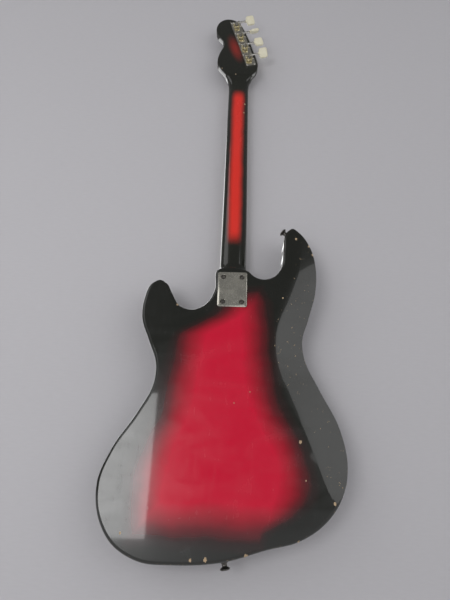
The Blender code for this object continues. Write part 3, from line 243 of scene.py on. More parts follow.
# %% Burst lacquer of the body
# Each pair is a height and the X of the red's side there
TREBLE_SIDE_OF_RED = [
    (-0.935, 0.120), (-0.886, 0.138), (-0.827, 0.141), (-0.785, 0.131), (-0.740, 0.109),
    (-0.678, 0.096), (-0.600, 0.094), (-0.573, 0.036), (-0.555, 0.018), (-0.520, 0.000),
]
BASS_SIDE_OF_RED = [
    (-0.935, -0.020), (-0.890, -0.055), (-0.868, -0.098), (-0.838, -0.128), (-0.783, -0.119),
    (-0.723, -0.083), (-0.680, -0.068), (-0.606, -0.064), (-0.540, -0.058), (-0.520, -0.040),
]
RED_TOP, RED_BOTTOM = -0.522, -0.900
RED_FADE = 0.062
# The ramps run between these heights, and their greys span this far to either side
RAMP_LOW, RAMP_HIGH, RAMP_REACH = -0.935, -0.515, 0.2
WOOD = rgba(0.62, 0.47, 0.30)
# Each chip is a pixel of the picture and a radius in millimetres
CHIPS_ON_BACK = [
    ((300.5, 442.0), 2.2), ((309.0, 246.0), 1.6), ((313.0, 254.0), 1.8), ((296.0, 239.0), 1.9),
    ((283.0, 298.0), 1.3), ((177.5, 304.0), 1.8), ((250.0, 392.0), 0.9), ((234.0, 403.0), 0.8),
    ((306.0, 481.0), 1.0), ((298.8, 543.0), 2.0), ((335.0, 504.0), 2.2), ((205.0, 560.0), 2.6),
    ((246.0, 557.0), 3.0), ((268.0, 553.0), 2.0), ((190.0, 560.5), 1.8), ((120.0, 533.0), 1.6),
]


def side_curve(finish, sides):
    """The X of one side of the red at each height, read from a ramp of grey values."""
    span = RAMP_HIGH - RAMP_LOW
    stops = [((z - RAMP_LOW) / span, rgba(*[0.5 + x / (2 * RAMP_REACH)] * 3)) for z, x in sides]
    share = (finish.z - RAMP_LOW) / span
    grey = finish.flow.node("ShaderNodeValToRGB", {"stops": stops}, {0: share})
    grey.socket.node.color_ramp.interpolation = "B_SPLINE"
    return (grey - 0.5) * (2 * RAMP_REACH)


def chip_mask(finish, chips, ragged):
    """1 on the chips, whose outlines are broken up by noise."""
    mask = None
    for (pixel_x, pixel_y), radius in chips:
        place = on_back(pixel_x, pixel_y)
        off_x, off_z = finish.x - place.x, finish.z - place.z
        squared = off_x * off_x + off_z * off_z * 0.5
        spread = finish.flow.math("SQRT", squared) + ragged * (radius * 1.6 * MM)
        one = (radius * 1.7 * MM - spread).step(0.15 * MM)
        mask = one if mask is None else mask.most(one)
    return mask


def burst_lacquer():
    finish = Finish("red_burst_lacquer")
    cloud = finish.noise(0.05, 3.0)
    ragged = finish.noise(1.6 * MM, 3.0)
    drift = (cloud - 0.5) * 0.016
    treble = side_curve(finish, TREBLE_SIDE_OF_RED) - finish.x
    bass = finish.x - side_curve(finish, BASS_SIDE_OF_RED)
    inside = treble.least(bass).least(finish.z - RED_BOTTOM).least(RED_TOP - finish.z) + drift
    depth = (inside + RED_FADE * 0.25) / RED_FADE
    burst = finish.flow.node("ShaderNodeValToRGB", {"stops": [
        (0.0, rgba(0.009, 0.010, 0.007)), (0.22, rgba(0.024, 0.008, 0.007)),
        (0.45, rgba(0.15, 0.004, 0.010)), (0.72, rgba(0.42, 0.003, 0.020)),
        (1.0, rgba(0.66, 0.001, 0.032))]}, {0: depth})
    front = (BODY_BACK * 0.5 - finish.y).step(2 * MM)
    face = finish.mix(front, burst, rgba(0.013, 0.012, 0.010))
    patchy = finish.noise(7 * MM, 3.0)
    tail_wear = (ragged - 0.66).step(0.05) * (finish.z * -1 - 0.900).step(0.01)
    bass_side = (finish.x * -1 - 0.03).step(0.02)
    side_wear = (ragged - 0.60).step(0.05) * (patchy - 0.62).step(0.03) * bass_side
    edge_wear = tail_wear.most(side_wear)
    rim = (finish.y - 0.022).step(4 * MM) * (BODY_BACK - 0.3 * MM - finish.y).step(0.4 * MM)
    chips = chip_mask(finish, CHIPS_ON_BACK, ragged).most(edge_wear * rim)
    grain = finish.noise(1.2 * MM, 5.0, (1.0, 1.0, 14.0))
    bare = finish.mix(grain, WOOD, rgba(0.38, 0.26, 0.15))
    finish.put("Base Color", finish.mix(chips, face, bare))
    smear = finish.noise(0.09, 6.0, (1.0, 1.0, 0.4), 1.2)
    fine = finish.noise(6 * MM, 5.0, (1.0, 1.0, 6.0))
    dulled = (smear - 0.35).most(0.0) * 0.35 + (fine - 0.55).most(0.0) * 0.3
    finish.put("Roughness", 0.16 + dulled + chips * 0.5)
    finish.put("Coat Weight", 0.95 - chips * 0.95)
    swell = finish.noise(0.035, 2.0)
    orange_peel = finish.noise(2.5 * MM, 2.0)
    lacquer = swell * 0.6 + orange_peel * 0.05
    finish.bump(lacquer + grain * chips * 0.3 - chips * 0.6, 0.25 * MM, 0.5)
    return finish.material


RED_BURST = burst_lacquer()
print("burst lacquer:", len(RED_BURST.node_tree.nodes), "nodes")

# %% [markdown]
# ## Lacquer of neck and head
# The neck is black too, with a red stripe left down the middle of its back and a red glow on
# the head. The stripe's edges are soft, and it fades out before the nut and before the heel.

# %% Neck lacquer
STRIPE_HALF = 0.0115
STRIPE_FROM, STRIPE_TO = -0.418, -0.022
GLOW_PLACE = (0.0100, 0.100)
# The tuner strip leans by this angle, and the red glow on the head leans with it
STRIP_TILT = math.radians(16.2)
NECK_CHIPS = [
    ((236.0, 63.0), 1.2), ((245.5, 92.0), 1.6), ((244.5, 101.0), 1.4), ((222.0, 57.0), 1.0),
]


def neck_lacquer():
    finish = Finish("black_neck_lacquer")
    cloud = finish.noise(0.03, 3.0)
    across = finish.flow.math("ABSOLUTE", finish.x + (cloud - 0.5) * 0.004)
    stripe = (STRIPE_HALF + 0.006 - across).step(0.014)
    ends = (finish.z - STRIPE_FROM).step(0.035) * (STRIPE_TO - finish.z).step(0.03)
    behind = finish.y.step(3 * MM)
    off_x, off_z = finish.x - GLOW_PLACE[0], finish.z - GLOW_PLACE[1]
    along = off_x * math.sin(STRIP_TILT) + off_z * math.cos(STRIP_TILT)
    aside = off_x * math.cos(STRIP_TILT) - off_z * math.sin(STRIP_TILT)
    far = finish.flow.math("SQRT", along * along * 0.11 + aside * aside)
    glow = (0.018 - far).step(0.018) * 0.32
    red = (stripe * ends).most(glow) * behind
    colour = finish.mix(red, rgba(0.012, 0.013, 0.009), rgba(0.80, 0.030, 0.018))
    grain = finish.noise(1.0 * MM, 5.0, (1.0, 1.0, 30.0))
    ragged = finish.noise(1.2 * MM, 3.0)
    chips = chip_mask(finish, NECK_CHIPS, ragged)
    bare = finish.mix(grain, rgba(0.60, 0.46, 0.30), rgba(0.42, 0.30, 0.18))
    finish.put("Base Color", finish.mix(chips, colour, bare))
    thumbed = finish.noise(0.03, 6.0, (1.0, 1.0, 3.0))
    finish.put("Roughness", 0.17 + (thumbed - 0.4).most(0.0) * 0.4 + chips * 0.5)
    finish.put("Coat Weight", 0.9 - chips * 0.9)
    finish.bump(finish.noise(0.02, 2.0) * 0.5 + grain * 0.03 - chips * 0.5, 0.2 * MM, 0.5)
    return finish.material


BLACK_NECK = neck_lacquer()
print("neck lacquer:", len(BLACK_NECK.node_tree.nodes), "nodes")

# %% [markdown]
# ## Rosewood with its frets
# The board and its frets are one solid here, so the finish tells them apart by height: what
# stands proud of the cambered face is nickel silver, the rest open-pored dark wood.

# %% Fretboard finish
BOARD_FACE = -0.010
BOARD_RADIUS = 0.254


def rosewood():
    finish = Finish("rosewood_and_frets")
    face = finish.x * finish.x * (0.5 / BOARD_RADIUS) + BOARD_FACE
    proud = (face - 0.15 * MM - finish.y).step(0.1 * MM)
    streak = finish.noise(2.5 * MM, 6.0, (1.0, 1.0, 22.0), 0.6)
    pores = (finish.noise(0.7 * MM, 3.0, (0.5, 1.0, 9.0)) - 0.56).step(0.08)
    wood = finish.flow.node("ShaderNodeValToRGB", {"stops": [
        (0.3, rgba(0.030, 0.014, 0.009)), (0.5, rgba(0.085, 0.036, 0.020)),
        (0.75, rgba(0.17, 0.075, 0.038))]}, {0: streak})
    dark = finish.mix(pores * 0.7, wood, rgba(0.015, 0.008, 0.005))
    finish.put("Base Color", finish.mix(proud, dark, rgba(0.72, 0.70, 0.64)))
    finish.put("Metallic", proud)
    finish.put("Roughness", 0.5 - streak * 0.12 - proud * 0.22)
    finish.bump(streak * 0.3 - pores * 0.5 * (1 - proud), 0.15 * MM, 0.7)
    return finish.material


ROSEWOOD = rosewood()
print("fretboard:", len(ROSEWOOD.node_tree.nodes), "nodes")

# %% [markdown]
# ## Metals
# Old plating is never one tone: it has hazy patches, hairline scratches and specks of dark
# tarnish. One recipe, given two colours and how rough, hazy, scratched and tarnished the metal
# is, serves chrome, brass, steel and wound strings.

# %% Worn metals


def metal(name, bright, dull, roughness, haze=0.03, scratch_axis=(1.0, 1.0, 18.0), tarnish=0.3):
    """Plated or bare metal with hairline scratches, dull in patches and specks."""
    finish = Finish(name, metallic=1.0)
    patches = finish.noise(haze, 6.0, distortion=0.8)
    scratches = finish.noise(0.5 * MM, 3.0, scratch_axis)
    specks = (finish.noise(0.9 * MM, 4.0) - 0.62).step(0.06)
    dim = (patches - 0.45).most(0.0) * (2.2 * tarnish) + specks * tarnish
    finish.put("Base Color", finish.mix(dim.least(1.0), bright, dull))
    hazy = (patches - 0.4).most(0.0) * 0.35
    finish.put("Roughness", roughness + hazy + (scratches - 0.55).most(0.0) * 0.5)
    finish.bump(scratches * 0.4 - specks * 0.6, 0.03 * MM, 0.5)
    return finish.material


CHROME = metal("worn_chrome", rgba(0.88, 0.85, 0.76), rgba(0.52, 0.46, 0.34), 0.13, tarnish=0.35)
PLATE_CHROME = metal("neck_plate_chrome", rgba(0.93, 0.90, 0.80), rgba(0.70, 0.64, 0.50), 0.20,
                     haze=0.02, scratch_axis=(1.0, 1.0, 9.0), tarnish=0.25)
BRASS = metal("cut_brass", rgba(0.80, 0.74, 0.52), rgba(0.34, 0.26, 0.12), 0.24,
              haze=6 * MM, tarnish=0.5)
STEEL = metal("bright_steel", rgba(0.72, 0.70, 0.66), rgba(0.36, 0.33, 0.28), 0.22,
              haze=8 * MM, tarnish=0.35)
DARK_STEEL = metal("dark_steel", rgba(0.16, 0.15, 0.14), rgba(0.05, 0.045, 0.04), 0.30,
                   haze=5 * MM, tarnish=0.5)
WOUND = metal("wound_string", rgba(0.62, 0.60, 0.56), rgba(0.30, 0.27, 0.22), 0.30,
              haze=0.02, scratch_axis=(6.0, 6.0, 0.5), tarnish=0.4)
print("metals made, materials so far:", len(bpy.data.materials))

# %% [markdown]
# ## Plastics, bone and wire
# The tuner buttons are cream plastic gone yellow in patches, the nut is bone with faint pores,
# and the pickguard is a sandwich of black, white and black sheet, seen at its edge. The inlays
# are pearl with a soft shimmer, and the pickups are wound with enamelled wire.

# %% Plastics, bone and wire


def cream_plastic():
    finish = Finish("cream_plastic", coat=0.3)
    age = finish.noise(7 * MM, 5.0, distortion=0.5)
    grime = (finish.noise(1.3 * MM, 4.0) - 0.6).step(0.1)
    tone = finish.mix(age, rgba(0.86, 0.83, 0.68), rgba(0.78, 0.72, 0.50))
    finish.put("Base Color", finish.mix(grime * 0.35, tone, rgba(0.42, 0.36, 0.22)))
    finish.put("Roughness", 0.24 + age * 0.2)
    finish.bump(age * 0.4 - grime * 0.3, 0.08 * MM, 0.5)
    return finish.material


def black_plastic():
    finish = Finish("black_plastic")
    dust = finish.noise(2.0 * MM, 5.0)
    hair = finish.noise(0.6 * MM, 2.0, (16.0, 1.0, 1.0))
    dusty = (dust - 0.5).most(0.0)
    finish.put("Base Color", finish.mix(dusty, rgba(0.012, 0.012, 0.013), rgba(0.12, 0.12, 0.12)))
    finish.put("Roughness", 0.2 + dust * 0.2 + (hair - 0.55).most(0.0) * 0.5)
    finish.bump(dust * 0.2 + hair * 0.1, 0.04 * MM, 0.5)
    return finish.material


def guard_plastic():
    finish = Finish("three_ply_guard")
    ply_low = (finish.y + 2.0 * MM).step(0.1 * MM)
    ply_high = (finish.y * -1 - 1.0 * MM).step(0.1 * MM)
    hair = finish.noise(0.8 * MM, 2.0, (1.0, 1.0, 20.0))
    dust = finish.noise(3.0 * MM, 5.0)
    dusty = (dust - 0.5).most(0.0)
    sheet = finish.mix(dusty, rgba(0.012, 0.012, 0.012), rgba(0.10, 0.10, 0.10))
    finish.put("Base Color", finish.mix(ply_low * ply_high, sheet, rgba(0.75, 0.74, 0.70)))
    finish.put("Roughness", 0.14 + (hair - 0.5).most(0.0) * 0.7)
    finish.bump(hair * 0.2 + dust * 0.1, 0.03 * MM, 0.5)
    return finish.material


def bone():
    finish = Finish("bone", roughness=0.35)
    pores = (finish.noise(0.5 * MM, 3.0, (1.0, 1.0, 3.0)) - 0.6).step(0.1)
    tone = finish.noise(8 * MM, 4.0)
    warm = finish.mix(tone, rgba(0.84, 0.80, 0.68), rgba(0.74, 0.66, 0.48))
    finish.put("Base Color", finish.mix(pores * 0.4, warm, rgba(0.4, 0.33, 0.22)))
    finish.bump(0.0 - pores, 0.05 * MM, 0.4)
    return finish.material


def pearl():
    finish = Finish("pearl", roughness=0.2, coat=0.5)
    shimmer = finish.noise(2.5 * MM, 3.0, distortion=2.0)
    finish.put("Base Color", finish.mix(shimmer, rgba(0.86, 0.86, 0.80), rgba(0.62, 0.66, 0.68)))
    return finish.material


def copper_wire():
    finish = Finish("enamelled_wire", roughness=0.3, metallic=0.7)
    wire_pitch = 0.25 * MM
    turns = finish.flow.math("SINE", finish.y * (2 * math.pi / wire_pitch))
    lie = finish.noise(1.5 * MM, 3.0)
    finish.put("Base Color", finish.mix(lie, rgba(0.40, 0.12, 0.04), rgba(0.22, 0.06, 0.025)))
    finish.bump(turns * 0.5 + lie * 0.3, 0.05 * MM, 0.8)
    return finish.material


CREAM = cream_plastic()
BLACK_PLASTIC = black_plastic()
GUARD = guard_plastic()
BONE = bone()
PEARL = pearl()
COPPER = copper_wire()
print("materials:", len(bpy.data.materials))

# %% [markdown]
# ## Dressing the solids
# The solids arrive with hard facets. A copy with its doubled corners merged can be shaded
# smooth, and a Weighted Normal modifier keeps the large flat faces flat, so the light runs
# round the edges only. The copy stands for the solid and rides on the solid's body.

# %% Which finish each solid gets
SMOOTH_ANGLE = math.radians(38)
WELD = 0.002 * MM
bodies = frame["record"]["behaviour"]["bodies"]
body_of = {node: body for body, nodes in bodies.items() for node in nodes}
slot_of = {entry["node"]: entry["material_slot"] for entry in frame["record"]["subparts"]}
SLOT_FINISH = {
    "red_burst_lacquer": RED_BURST, "black_lacquer": BLACK_NECK, "rosewood": ROSEWOOD, "bone": BONE,
    "cream_plastic": CREAM, "black_plastic": BLACK_PLASTIC, "chrome": CHROME, "dark_steel": DARK_STEEL,
    "aged_brass": BRASS, "steel": STEEL, "enamelled_copper": COPPER,
}
OWN_FINISH = {"neck_plate": PLATE_CHROME, "pickguard": GUARD, "string_e": WOUND, "string_a": WOUND,
              "string_d": WOUND}
print("finishes by slot:", len(SLOT_FINISH), "and by node:", len(OWN_FINISH))

# %% Tools that dress and carve


def link(obj):
    bpy.context.scene.collection.objects.link(obj)
    return obj


def mesh_from(bm, name):
    mesh = bpy.data.meshes.new(name)
    bm.to_mesh(mesh)
    bm.free()
    return mesh


def finished(mesh, finish, angle=SMOOTH_ANGLE):
    """A mesh in its finish, shaded smooth up to the angle and sharp beyond it."""
    mesh.materials.clear()
    mesh.materials.append(finish)
    mesh.shade_smooth()
    mesh.set_sharp_from_angle(angle=angle)
    return mesh


def dress(piece, node, finish, angle=SMOOTH_ANGLE):
    """Finish a piece, keep its large flat faces flat, and let it stand for its solid."""
    finished(piece.data, finish, angle)
    even = piece.modifiers.new("flat_faces_stay_flat", "WEIGHTED_NORMAL")
    even.keep_sharp = True
    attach(piece, body_of[node])
    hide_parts(node)


def carved(obj, tools):
    """Cut the tools out of a piece and keep the result as its mesh."""
    for tool in tools:
        cut = obj.modifiers.new("cut", "BOOLEAN")
        cut.operation = "DIFFERENCE"
        cut.object = tool
    bpy.context.view_layer.update()
    result = bpy.data.meshes.new_from_object(obj.evaluated_get(bpy.context.evaluated_depsgraph_get()))
    obj.modifiers.clear()
    obj.data = result
    for tool in tools:
        bpy.data.objects.remove(tool, do_unlink=True)


def dressed(node, tools=()):
    """A smooth copy of a solid, in its finish, on its body."""
    source = frame["nodes"][node]
    bm = bmesh.new()
    bm.from_mesh(source.data)
    bmesh.ops.remove_doubles(bm, verts=bm.verts, dist=WELD)
    piece = link(bpy.data.objects.new(node + "_finish", mesh_from(bm, node + "_finish")))
    if tools:
        carved(piece, tools)
    dress(piece, node, OWN_FINISH.get(node, SLOT_FINISH[slot_of[node]]))
    return piece


def block(name, size, place):
    """A block as a cutter or the raw form of a small part."""
    bm = bmesh.new()
    bmesh.ops.create_cube(bm, size=1.0)
    bmesh.ops.scale(bm, vec=size, verts=bm.verts)
    obj = link(bpy.data.objects.new(name, mesh_from(bm, name)))
    obj.matrix_world = place
    return obj


def cross_tools(place, width=1.1 * MM, length=4.4 * MM, depth=2.2 * MM):
    """Two crossing blocks that cut a screwdriver's cross into a head."""
    sizes = (width, length, depth), (length, width, depth)
    return [block("cross", size, place) for size in sizes]


def box_middle(node):
    low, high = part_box(node)
    return (low + high) / 2


def spun(angle):
    """A turn about a screw's own axis."""
    return Matrix.Rotation(angle, 4, "Z")


print("neck plate's middle:", tuple(round(value, 4) for value in box_middle("neck_plate")))

# %% Carve the screws and dress every solid
FACING_BACK = Matrix.Rotation(math.radians(-90), 4, "X")
# Degrees: the first cross, and the turn from each cross to the next
FIRST_CROSS, CROSS_STEP = 17, 31
SLOT_SIZE = (8 * MM, 1.0 * MM, 1.5 * MM)
SLOT_TURN = 0.6
STRING_NAMES = "eadg"
carving = {}
for number in range(1, 5):
    middle, top = box_middle(f"neck_screw_{number}"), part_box(f"neck_screw_{number}")[1].y
    seat = Matrix.Translation((middle.x, top, middle.z)) @ FACING_BACK
    turned_cross = seat @ spun(math.radians(FIRST_CROSS + CROSS_STEP * number))
    carving[f"neck_screw_{number}"] = cross_tools(turned_cross)
for string in STRING_NAMES:
    post = box_middle(f"string_post_{string}")
    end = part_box(f"string_post_{string}")[1].y
    place = Matrix.Translation((post.x, end, post.z)) @ FACING_BACK @ spun(SLOT_TURN)
    carving[f"string_post_{string}"] = [block("slot", SLOT_SIZE, place)]

others = [node for node in frame["nodes"] if node != "body"]
pieces = [dressed(node, carving.get(node, ())) for node in others]
print("dressed pieces:", len(pieces))

# %% [markdown]
# ## The body at full smoothness
# A slab with a rounded rim can be built in several ways: a beveled curve, a sculpted block or
# an extruded outline. The extruded outline wins, because the outline's points are known sizes
# and a bevel gives the rim its exact radius. The hollow for the player's ribs is cut by a
# lofted surface that leaves the flat back along a soft bend.

# %% Sizes of the smooth body
SCALE_LENGTH = 0.787
# X, and Z from the neck joint, round from the tail by the bass side
BODY_OUTLINE = [
    (0.000, -0.4470), (-0.060, -0.4300), (-0.103, -0.4190), (-0.140, -0.3970), (-0.166, -0.3660),
    (-0.180, -0.3110), (-0.172, -0.2630), (-0.1425, -0.2010), (-0.121, -0.1510), (-0.1185, -0.1250),
    (-0.131, -0.0810), (-0.144, -0.0320), (-0.146, 0.0100), (-0.137, 0.0520), (-0.120, 0.0800),
    (-0.106, 0.0900), (-0.0955, 0.0820), (-0.0890, 0.0450), (-0.0840, 0.0080), (-0.072, -0.0080),
    (-0.054, -0.0140), (-0.037, -0.0085), (-0.0280, 0.0000), (0.0287, 0.0000), (0.0305, -0.0360),
    (0.045, -0.0635), (0.066, -0.0740), (0.088, -0.0685), (0.103, -0.0460), (0.114, -0.0270),
    (0.126, -0.0205), (0.140, -0.0280), (0.150, -0.0560), (0.1505, -0.0920), (0.135, -0.1320),
    (0.120, -0.1710), (0.1205, -0.2000), (0.142, -0.2480), (0.1745, -0.3020), (0.190, -0.3500),
    (0.184, -0.3920), (0.160, -0.4290), (0.120, -0.4500), (0.070, -0.4530),
]
# Height from the neck joint, X of the hollow's inner edge, and its depth at the rim
BELLY_STATIONS = [
    (0.0780, -0.128, 0.000), (0.0620, -0.117, 0.003), (-0.0105, -0.103, 0.008),
    (-0.0590, -0.087, 0.010), (-0.0950, -0.075, 0.012), (-0.1280, -0.071, 0.013),
    (-0.1910, -0.080, 0.013), (-0.2200, -0.094, 0.012), (-0.2630, -0.118, 0.010),
    (-0.3050, -0.136, 0.008), (-0.3380, -0.147, 0.005), (-0.3700, -0.163, 0.000),
]
BELLY_REACH = 0.080
BELLY_BEND = 0.010
BELLY_STEPS = 6
BEND_HALF_STEPS = 3
BELLY_LIFT = 0.1 * MM
CUT_ABOVE = 0.01
# An outline point this near in height can be the body's edge there
EDGE_SEARCH = 0.02
LEAST_RUN = 0.005
RIM_RADIUS = 0.006
RIM_SEGMENTS = 6
RIM_SMOOTH_ANGLE = math.radians(30)
OUTLINE_STEPS = 8
JOINT_FRET = 16
JOINT_PAST_FRET = 6 * MM


def fret_height(number):
    return -SCALE_LENGTH * (1 - 2 ** (-number / 12))


JOINT_Z = fret_height(JOINT_FRET) - JOINT_PAST_FRET
print("neck joint at", round(JOINT_Z, 4))

# %% Curves and lofts
# Stands in for a length of zero at the open ends of a curve
TINY = 1e-9


def through(points, steps, closed=False):
    """Smooth curve through the points, with the given steps from one to the next."""
    count = len(points)
    curve = []
    for i in range(count if closed else count - 1):
        if closed:
            a, b, c, d = (points[(i + k) % count] for k in (-1, 0, 1, 2))
        else:
            a, b, c, d = (points[min(max(i + k, 0), count - 1)] for k in (-1, 0, 1, 2))
        before, ahead, after = ((q - p).length for p, q in ((a, b), (b, c), (c, d)))
        leave = (b - a) / max(before, TINY) * ahead + (c - b) / ahead * before
        leave = leave / (ahead + before) * ahead
        arrive = (c - b) / ahead * after + (d - c) / max(after, TINY) * ahead
        arrive = arrive / (ahead + after) * ahead
        for step in range(steps):
            t = step / steps
            curve.append((2 * t**3 - 3 * t**2 + 1) * b + (t**3 - 2 * t**2 + t) * leave
                         + (3 * t**2 - 2 * t**3) * c + (t**3 - t**2) * arrive)
    return curve if closed else curve + [points[-1]]


def loft(name, sections):
    """Closed solid through rings of equal point count."""
    bm = bmesh.new()
    rings = [[bm.verts.new(point) for point in section] for section in sections]
    for lower, upper in zip(rings, rings[1:]):
        for i in range(len(lower)):
            j = (i + 1) % len(lower)
            bm.faces.new((lower[i], lower[j], upper[j], upper[i]))
    bm.faces.new(rings[0])
    bm.faces.new(rings[-1])
    bmesh.ops.recalc_face_normals(bm, faces=bm.faces)
    return link(bpy.data.objects.new(name, mesh_from(bm, name)))


print("points on the outline:", len(BODY_OUTLINE) * OUTLINE_STEPS)

# %% Build the smooth body


def belly_cutter(loop):
    """The hollow's surface: level, then a soft bend, then a straight slope to the rim."""
    rows = []
    for z, inner, depth in BELLY_STATIONS:
        edge = min(x for x, height in loop if abs(height - z - JOINT_Z) < EDGE_SEARCH)
        rows.append(Vector((z + JOINT_Z, inner, depth / max(inner - edge, LEAST_RUN))))
    sections = []
    for z, inner, slope in through(rows, BELLY_STEPS):
        ring = []
        for step in range(2 * BEND_HALF_STEPS + 1):
            past = BELLY_BEND * (step / BEND_HALF_STEPS - 1)
            drop = slope * (past + BELLY_BEND) ** 2 / (4 * BELLY_BEND)
            ring.append((inner - past, BODY_BACK + BELLY_LIFT - drop, z))
        ring.append((inner - BELLY_REACH, BODY_BACK + BELLY_LIFT - slope * BELLY_REACH, z))
        ring.append((inner - BELLY_REACH, BODY_BACK + CUT_ABOVE, z))
        ring.append((inner + BELLY_BEND, BODY_BACK + CUT_ABOVE, z))
        sections.append(ring)
    return loft("belly_cutter", sections)


def fine_body():
    """The slab with its rounded rim and the hollow, kept within the solid's own box."""
    low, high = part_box("body")
    raw = [Vector((x, z + JOINT_Z)) for x, z in BODY_OUTLINE]
    loop = through(raw, OUTLINE_STEPS, closed=True)
    loop = [(min(max(x, low.x), high.x), min(max(z, low.z), high.z)) for x, z in loop]
    bm = bmesh.new()
    front = bm.faces.new([bm.verts.new((x, 0.0, z)) for x, z in loop])
    grown = bmesh.ops.extrude_face_region(bm, geom=[front])
    moved = [part for part in grown["geom"] if isinstance(part, bmesh.types.BMVert)]
    bmesh.ops.translate(bm, vec=(0, BODY_BACK, 0), verts=moved)
    bmesh.ops.recalc_face_normals(bm, faces=bm.faces)
    rims = [edge for edge in bm.edges if abs(edge.verts[0].co.y - edge.verts[1].co.y) < BODY_BACK / 2]
    bmesh.ops.bevel(bm, geom=rims, offset=RIM_RADIUS, offset_type="OFFSET", segments=RIM_SEGMENTS,
                    profile=0.5, affect="EDGES", clamp_overlap=True)
    body = link(bpy.data.objects.new("body_finish", mesh_from(bm, "body_finish")))
    carved(body, [belly_cutter(loop)])
    dress(body, "body", RED_BURST, RIM_SMOOTH_ANGLE)
    return body


smooth_body = fine_body()
print("body faces:", len(smooth_body.data.polygons))

# %% [markdown]
# ## Small screws
# A domed screw is a turned profile with a cross cut into it. It is made once as a mesh and
# placed many times: on the tuner strip, round the pickguard, on the bridge and on the tree.

# %% Screws


def turned_mesh(name, profile, steps=20):
    """A mesh turned round Z from (radius, height) pairs that start and end on the axis."""
    bm = bmesh.new()
    around = [2 * math.pi * i / steps for i in range(steps)]
    rings = []
    for radius, height in profile:
        if radius == 0:
            rings.append([bm.verts.new((0, 0, height))])
        else:
            rings.append([bm.verts.new((radius * math.cos(angle), radius * math.sin(angle), height))
                          for angle in around])
    for upper, lower in zip(rings, rings[1:]):
        for i in range(steps):
            j = (i + 1) % steps
            corners = [upper[i % len(upper)], upper[j % len(upper)],
                       lower[j % len(lower)], lower[i % len(lower)]]
            bm.faces.new(list(dict.fromkeys(corners)))
    bmesh.ops.recalc_face_normals(bm, faces=bm.faces)
    return mesh_from(bm, name)


def in_metres(profile):
    """A profile given in millimetres."""
    return [(radius * MM, height * MM) for radius, height in profile]


def small_turned(name, profile, finish, steps):
    """A turned mesh in its finish, from a profile in millimetres."""
    return finished(turned_mesh(name, in_metres(profile), steps), finish)


def screw_mesh(name, radius, finish):
    """A domed head in its finish, with a cross cut into its crown."""
    dome = [(0, radius * 0.55), (radius * 0.45, radius * 0.48), (radius * 0.8, radius * 0.28),
            (radius, 0.0), (radius * 0.5, -radius * 0.1), (0, -radius * 0.1)]
    head = link(bpy.data.objects.new(name, turned_mesh(name, dome)))
    crown = Matrix.Translation((0, 0, radius * 0.6))
    carved(head, cross_tools(crown, radius * 0.26, radius * 1.2, radius * 0.7))
    mesh = head.data
    bpy.data.objects.remove(head, do_unlink=True)
    return finished(mesh, finish)


def place_piece(name, mesh, place):
    """A small piece at its place on the root body, in its mesh's finish."""
    piece = link(bpy.data.objects.new(name, mesh))
    piece.matrix_world = place
    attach(piece, "root")


# Radians from one screw's cross to the next
STRIP_CROSS_STEP, GUARD_CROSS_STEP, BRIDGE_CROSS_STEP = 0.7, 0.9, 1.1
SMALL_SCREW = screw_mesh("small_screw", 2.1 * MM, STEEL)
GUARD_SCREW = screw_mesh("guard_screw", 2.6 * MM, CHROME)
FACING_FRONT = Matrix.Rotation(math.radians(90), 4, "X")
STRIP_MIDDLE = Vector((-0.0065, 0, 0.1159))
strip_frame = Matrix.Translation(STRIP_MIDDLE) @ Matrix.Rotation(STRIP_TILT, 4, "Y")
STRIP_SURFACE = 0.0130
# Millimetres across and along the strip
strip_screws = [
    (-8.6, -70.0), (8.2, -69.0), (-8.8, -36.5), (8.2, -36.5), (-8.8, 0.0),
    (8.2, 0.0), (-8.8, 36.5), (8.2, 36.5), (-8.4, 71.0), (8.0, 71.0),
]
for number, (across, along) in enumerate(strip_screws):
    spot = Matrix.Translation((across * MM, STRIP_SURFACE, along * MM))
    place = strip_frame @ spot @ FACING_BACK @ spun(STRIP_CROSS_STEP * number)
    place_piece(f"strip_screw_{number + 1}", SMALL_SCREW, place)

GUARD_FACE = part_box("pickguard")[0].y
# X, and Z from the neck joint
guard_screws = [
    (-0.050, -0.064), (-0.066, -0.120), (-0.061, -0.190), (-0.047, -0.256), (0.020, -0.266),
    (0.085, -0.310), (0.112, -0.346), (0.158, -0.345), (0.155, -0.318), (0.116, -0.250),
    (0.091, -0.190), (0.092, -0.115), (0.045, -0.088),
]
for number, (x, z) in enumerate(guard_screws):
    spot = Matrix.Translation((x, GUARD_FACE, z + JOINT_Z))
    place = spot @ FACING_FRONT @ spun(GUARD_CROSS_STEP * number)
    place_piece(f"guard_screw_{number + 1}", GUARD_SCREW, place)
BRIDGE_SCREW_SHARES = (0.08, 0.29, 0.5, 0.71, 0.92)
BRIDGE_PLATE_FACE = -0.0023
BRIDGE_SCREW_INSET = 6.5 * MM
bridge_low, bridge_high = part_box("bridge_plate")
for number, share in enumerate(BRIDGE_SCREW_SHARES):
    x = bridge_low.x + (bridge_high.x - bridge_low.x) * share
    spot = Matrix.Translation((x, BRIDGE_PLATE_FACE, bridge_low.z + BRIDGE_SCREW_INSET))
    place = spot @ FACING_FRONT @ spun(BRIDGE_CROSS_STEP * number)
    place_piece(f"bridge_screw_{number + 1}", GUARD_SCREW, place)
tree_middle = box_middle("string_tree")
tree_place = Matrix.Translation((tree_middle.x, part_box("string_tree")[0].y, tree_middle.z))
place_piece("tree_screw", SMALL_SCREW, tree_place @ FACING_FRONT)
print("screws:", len(strip_screws) + len(guard_screws) + len(BRIDGE_SCREW_SHARES) + 1)

# %% [markdown]
# ## Inlays
# Dots on the board show where the hand is, one between two frets and two before the octave.
# Each is a thin turned disc that lies on the board's camber, so it catches the light as the
# real ones do.

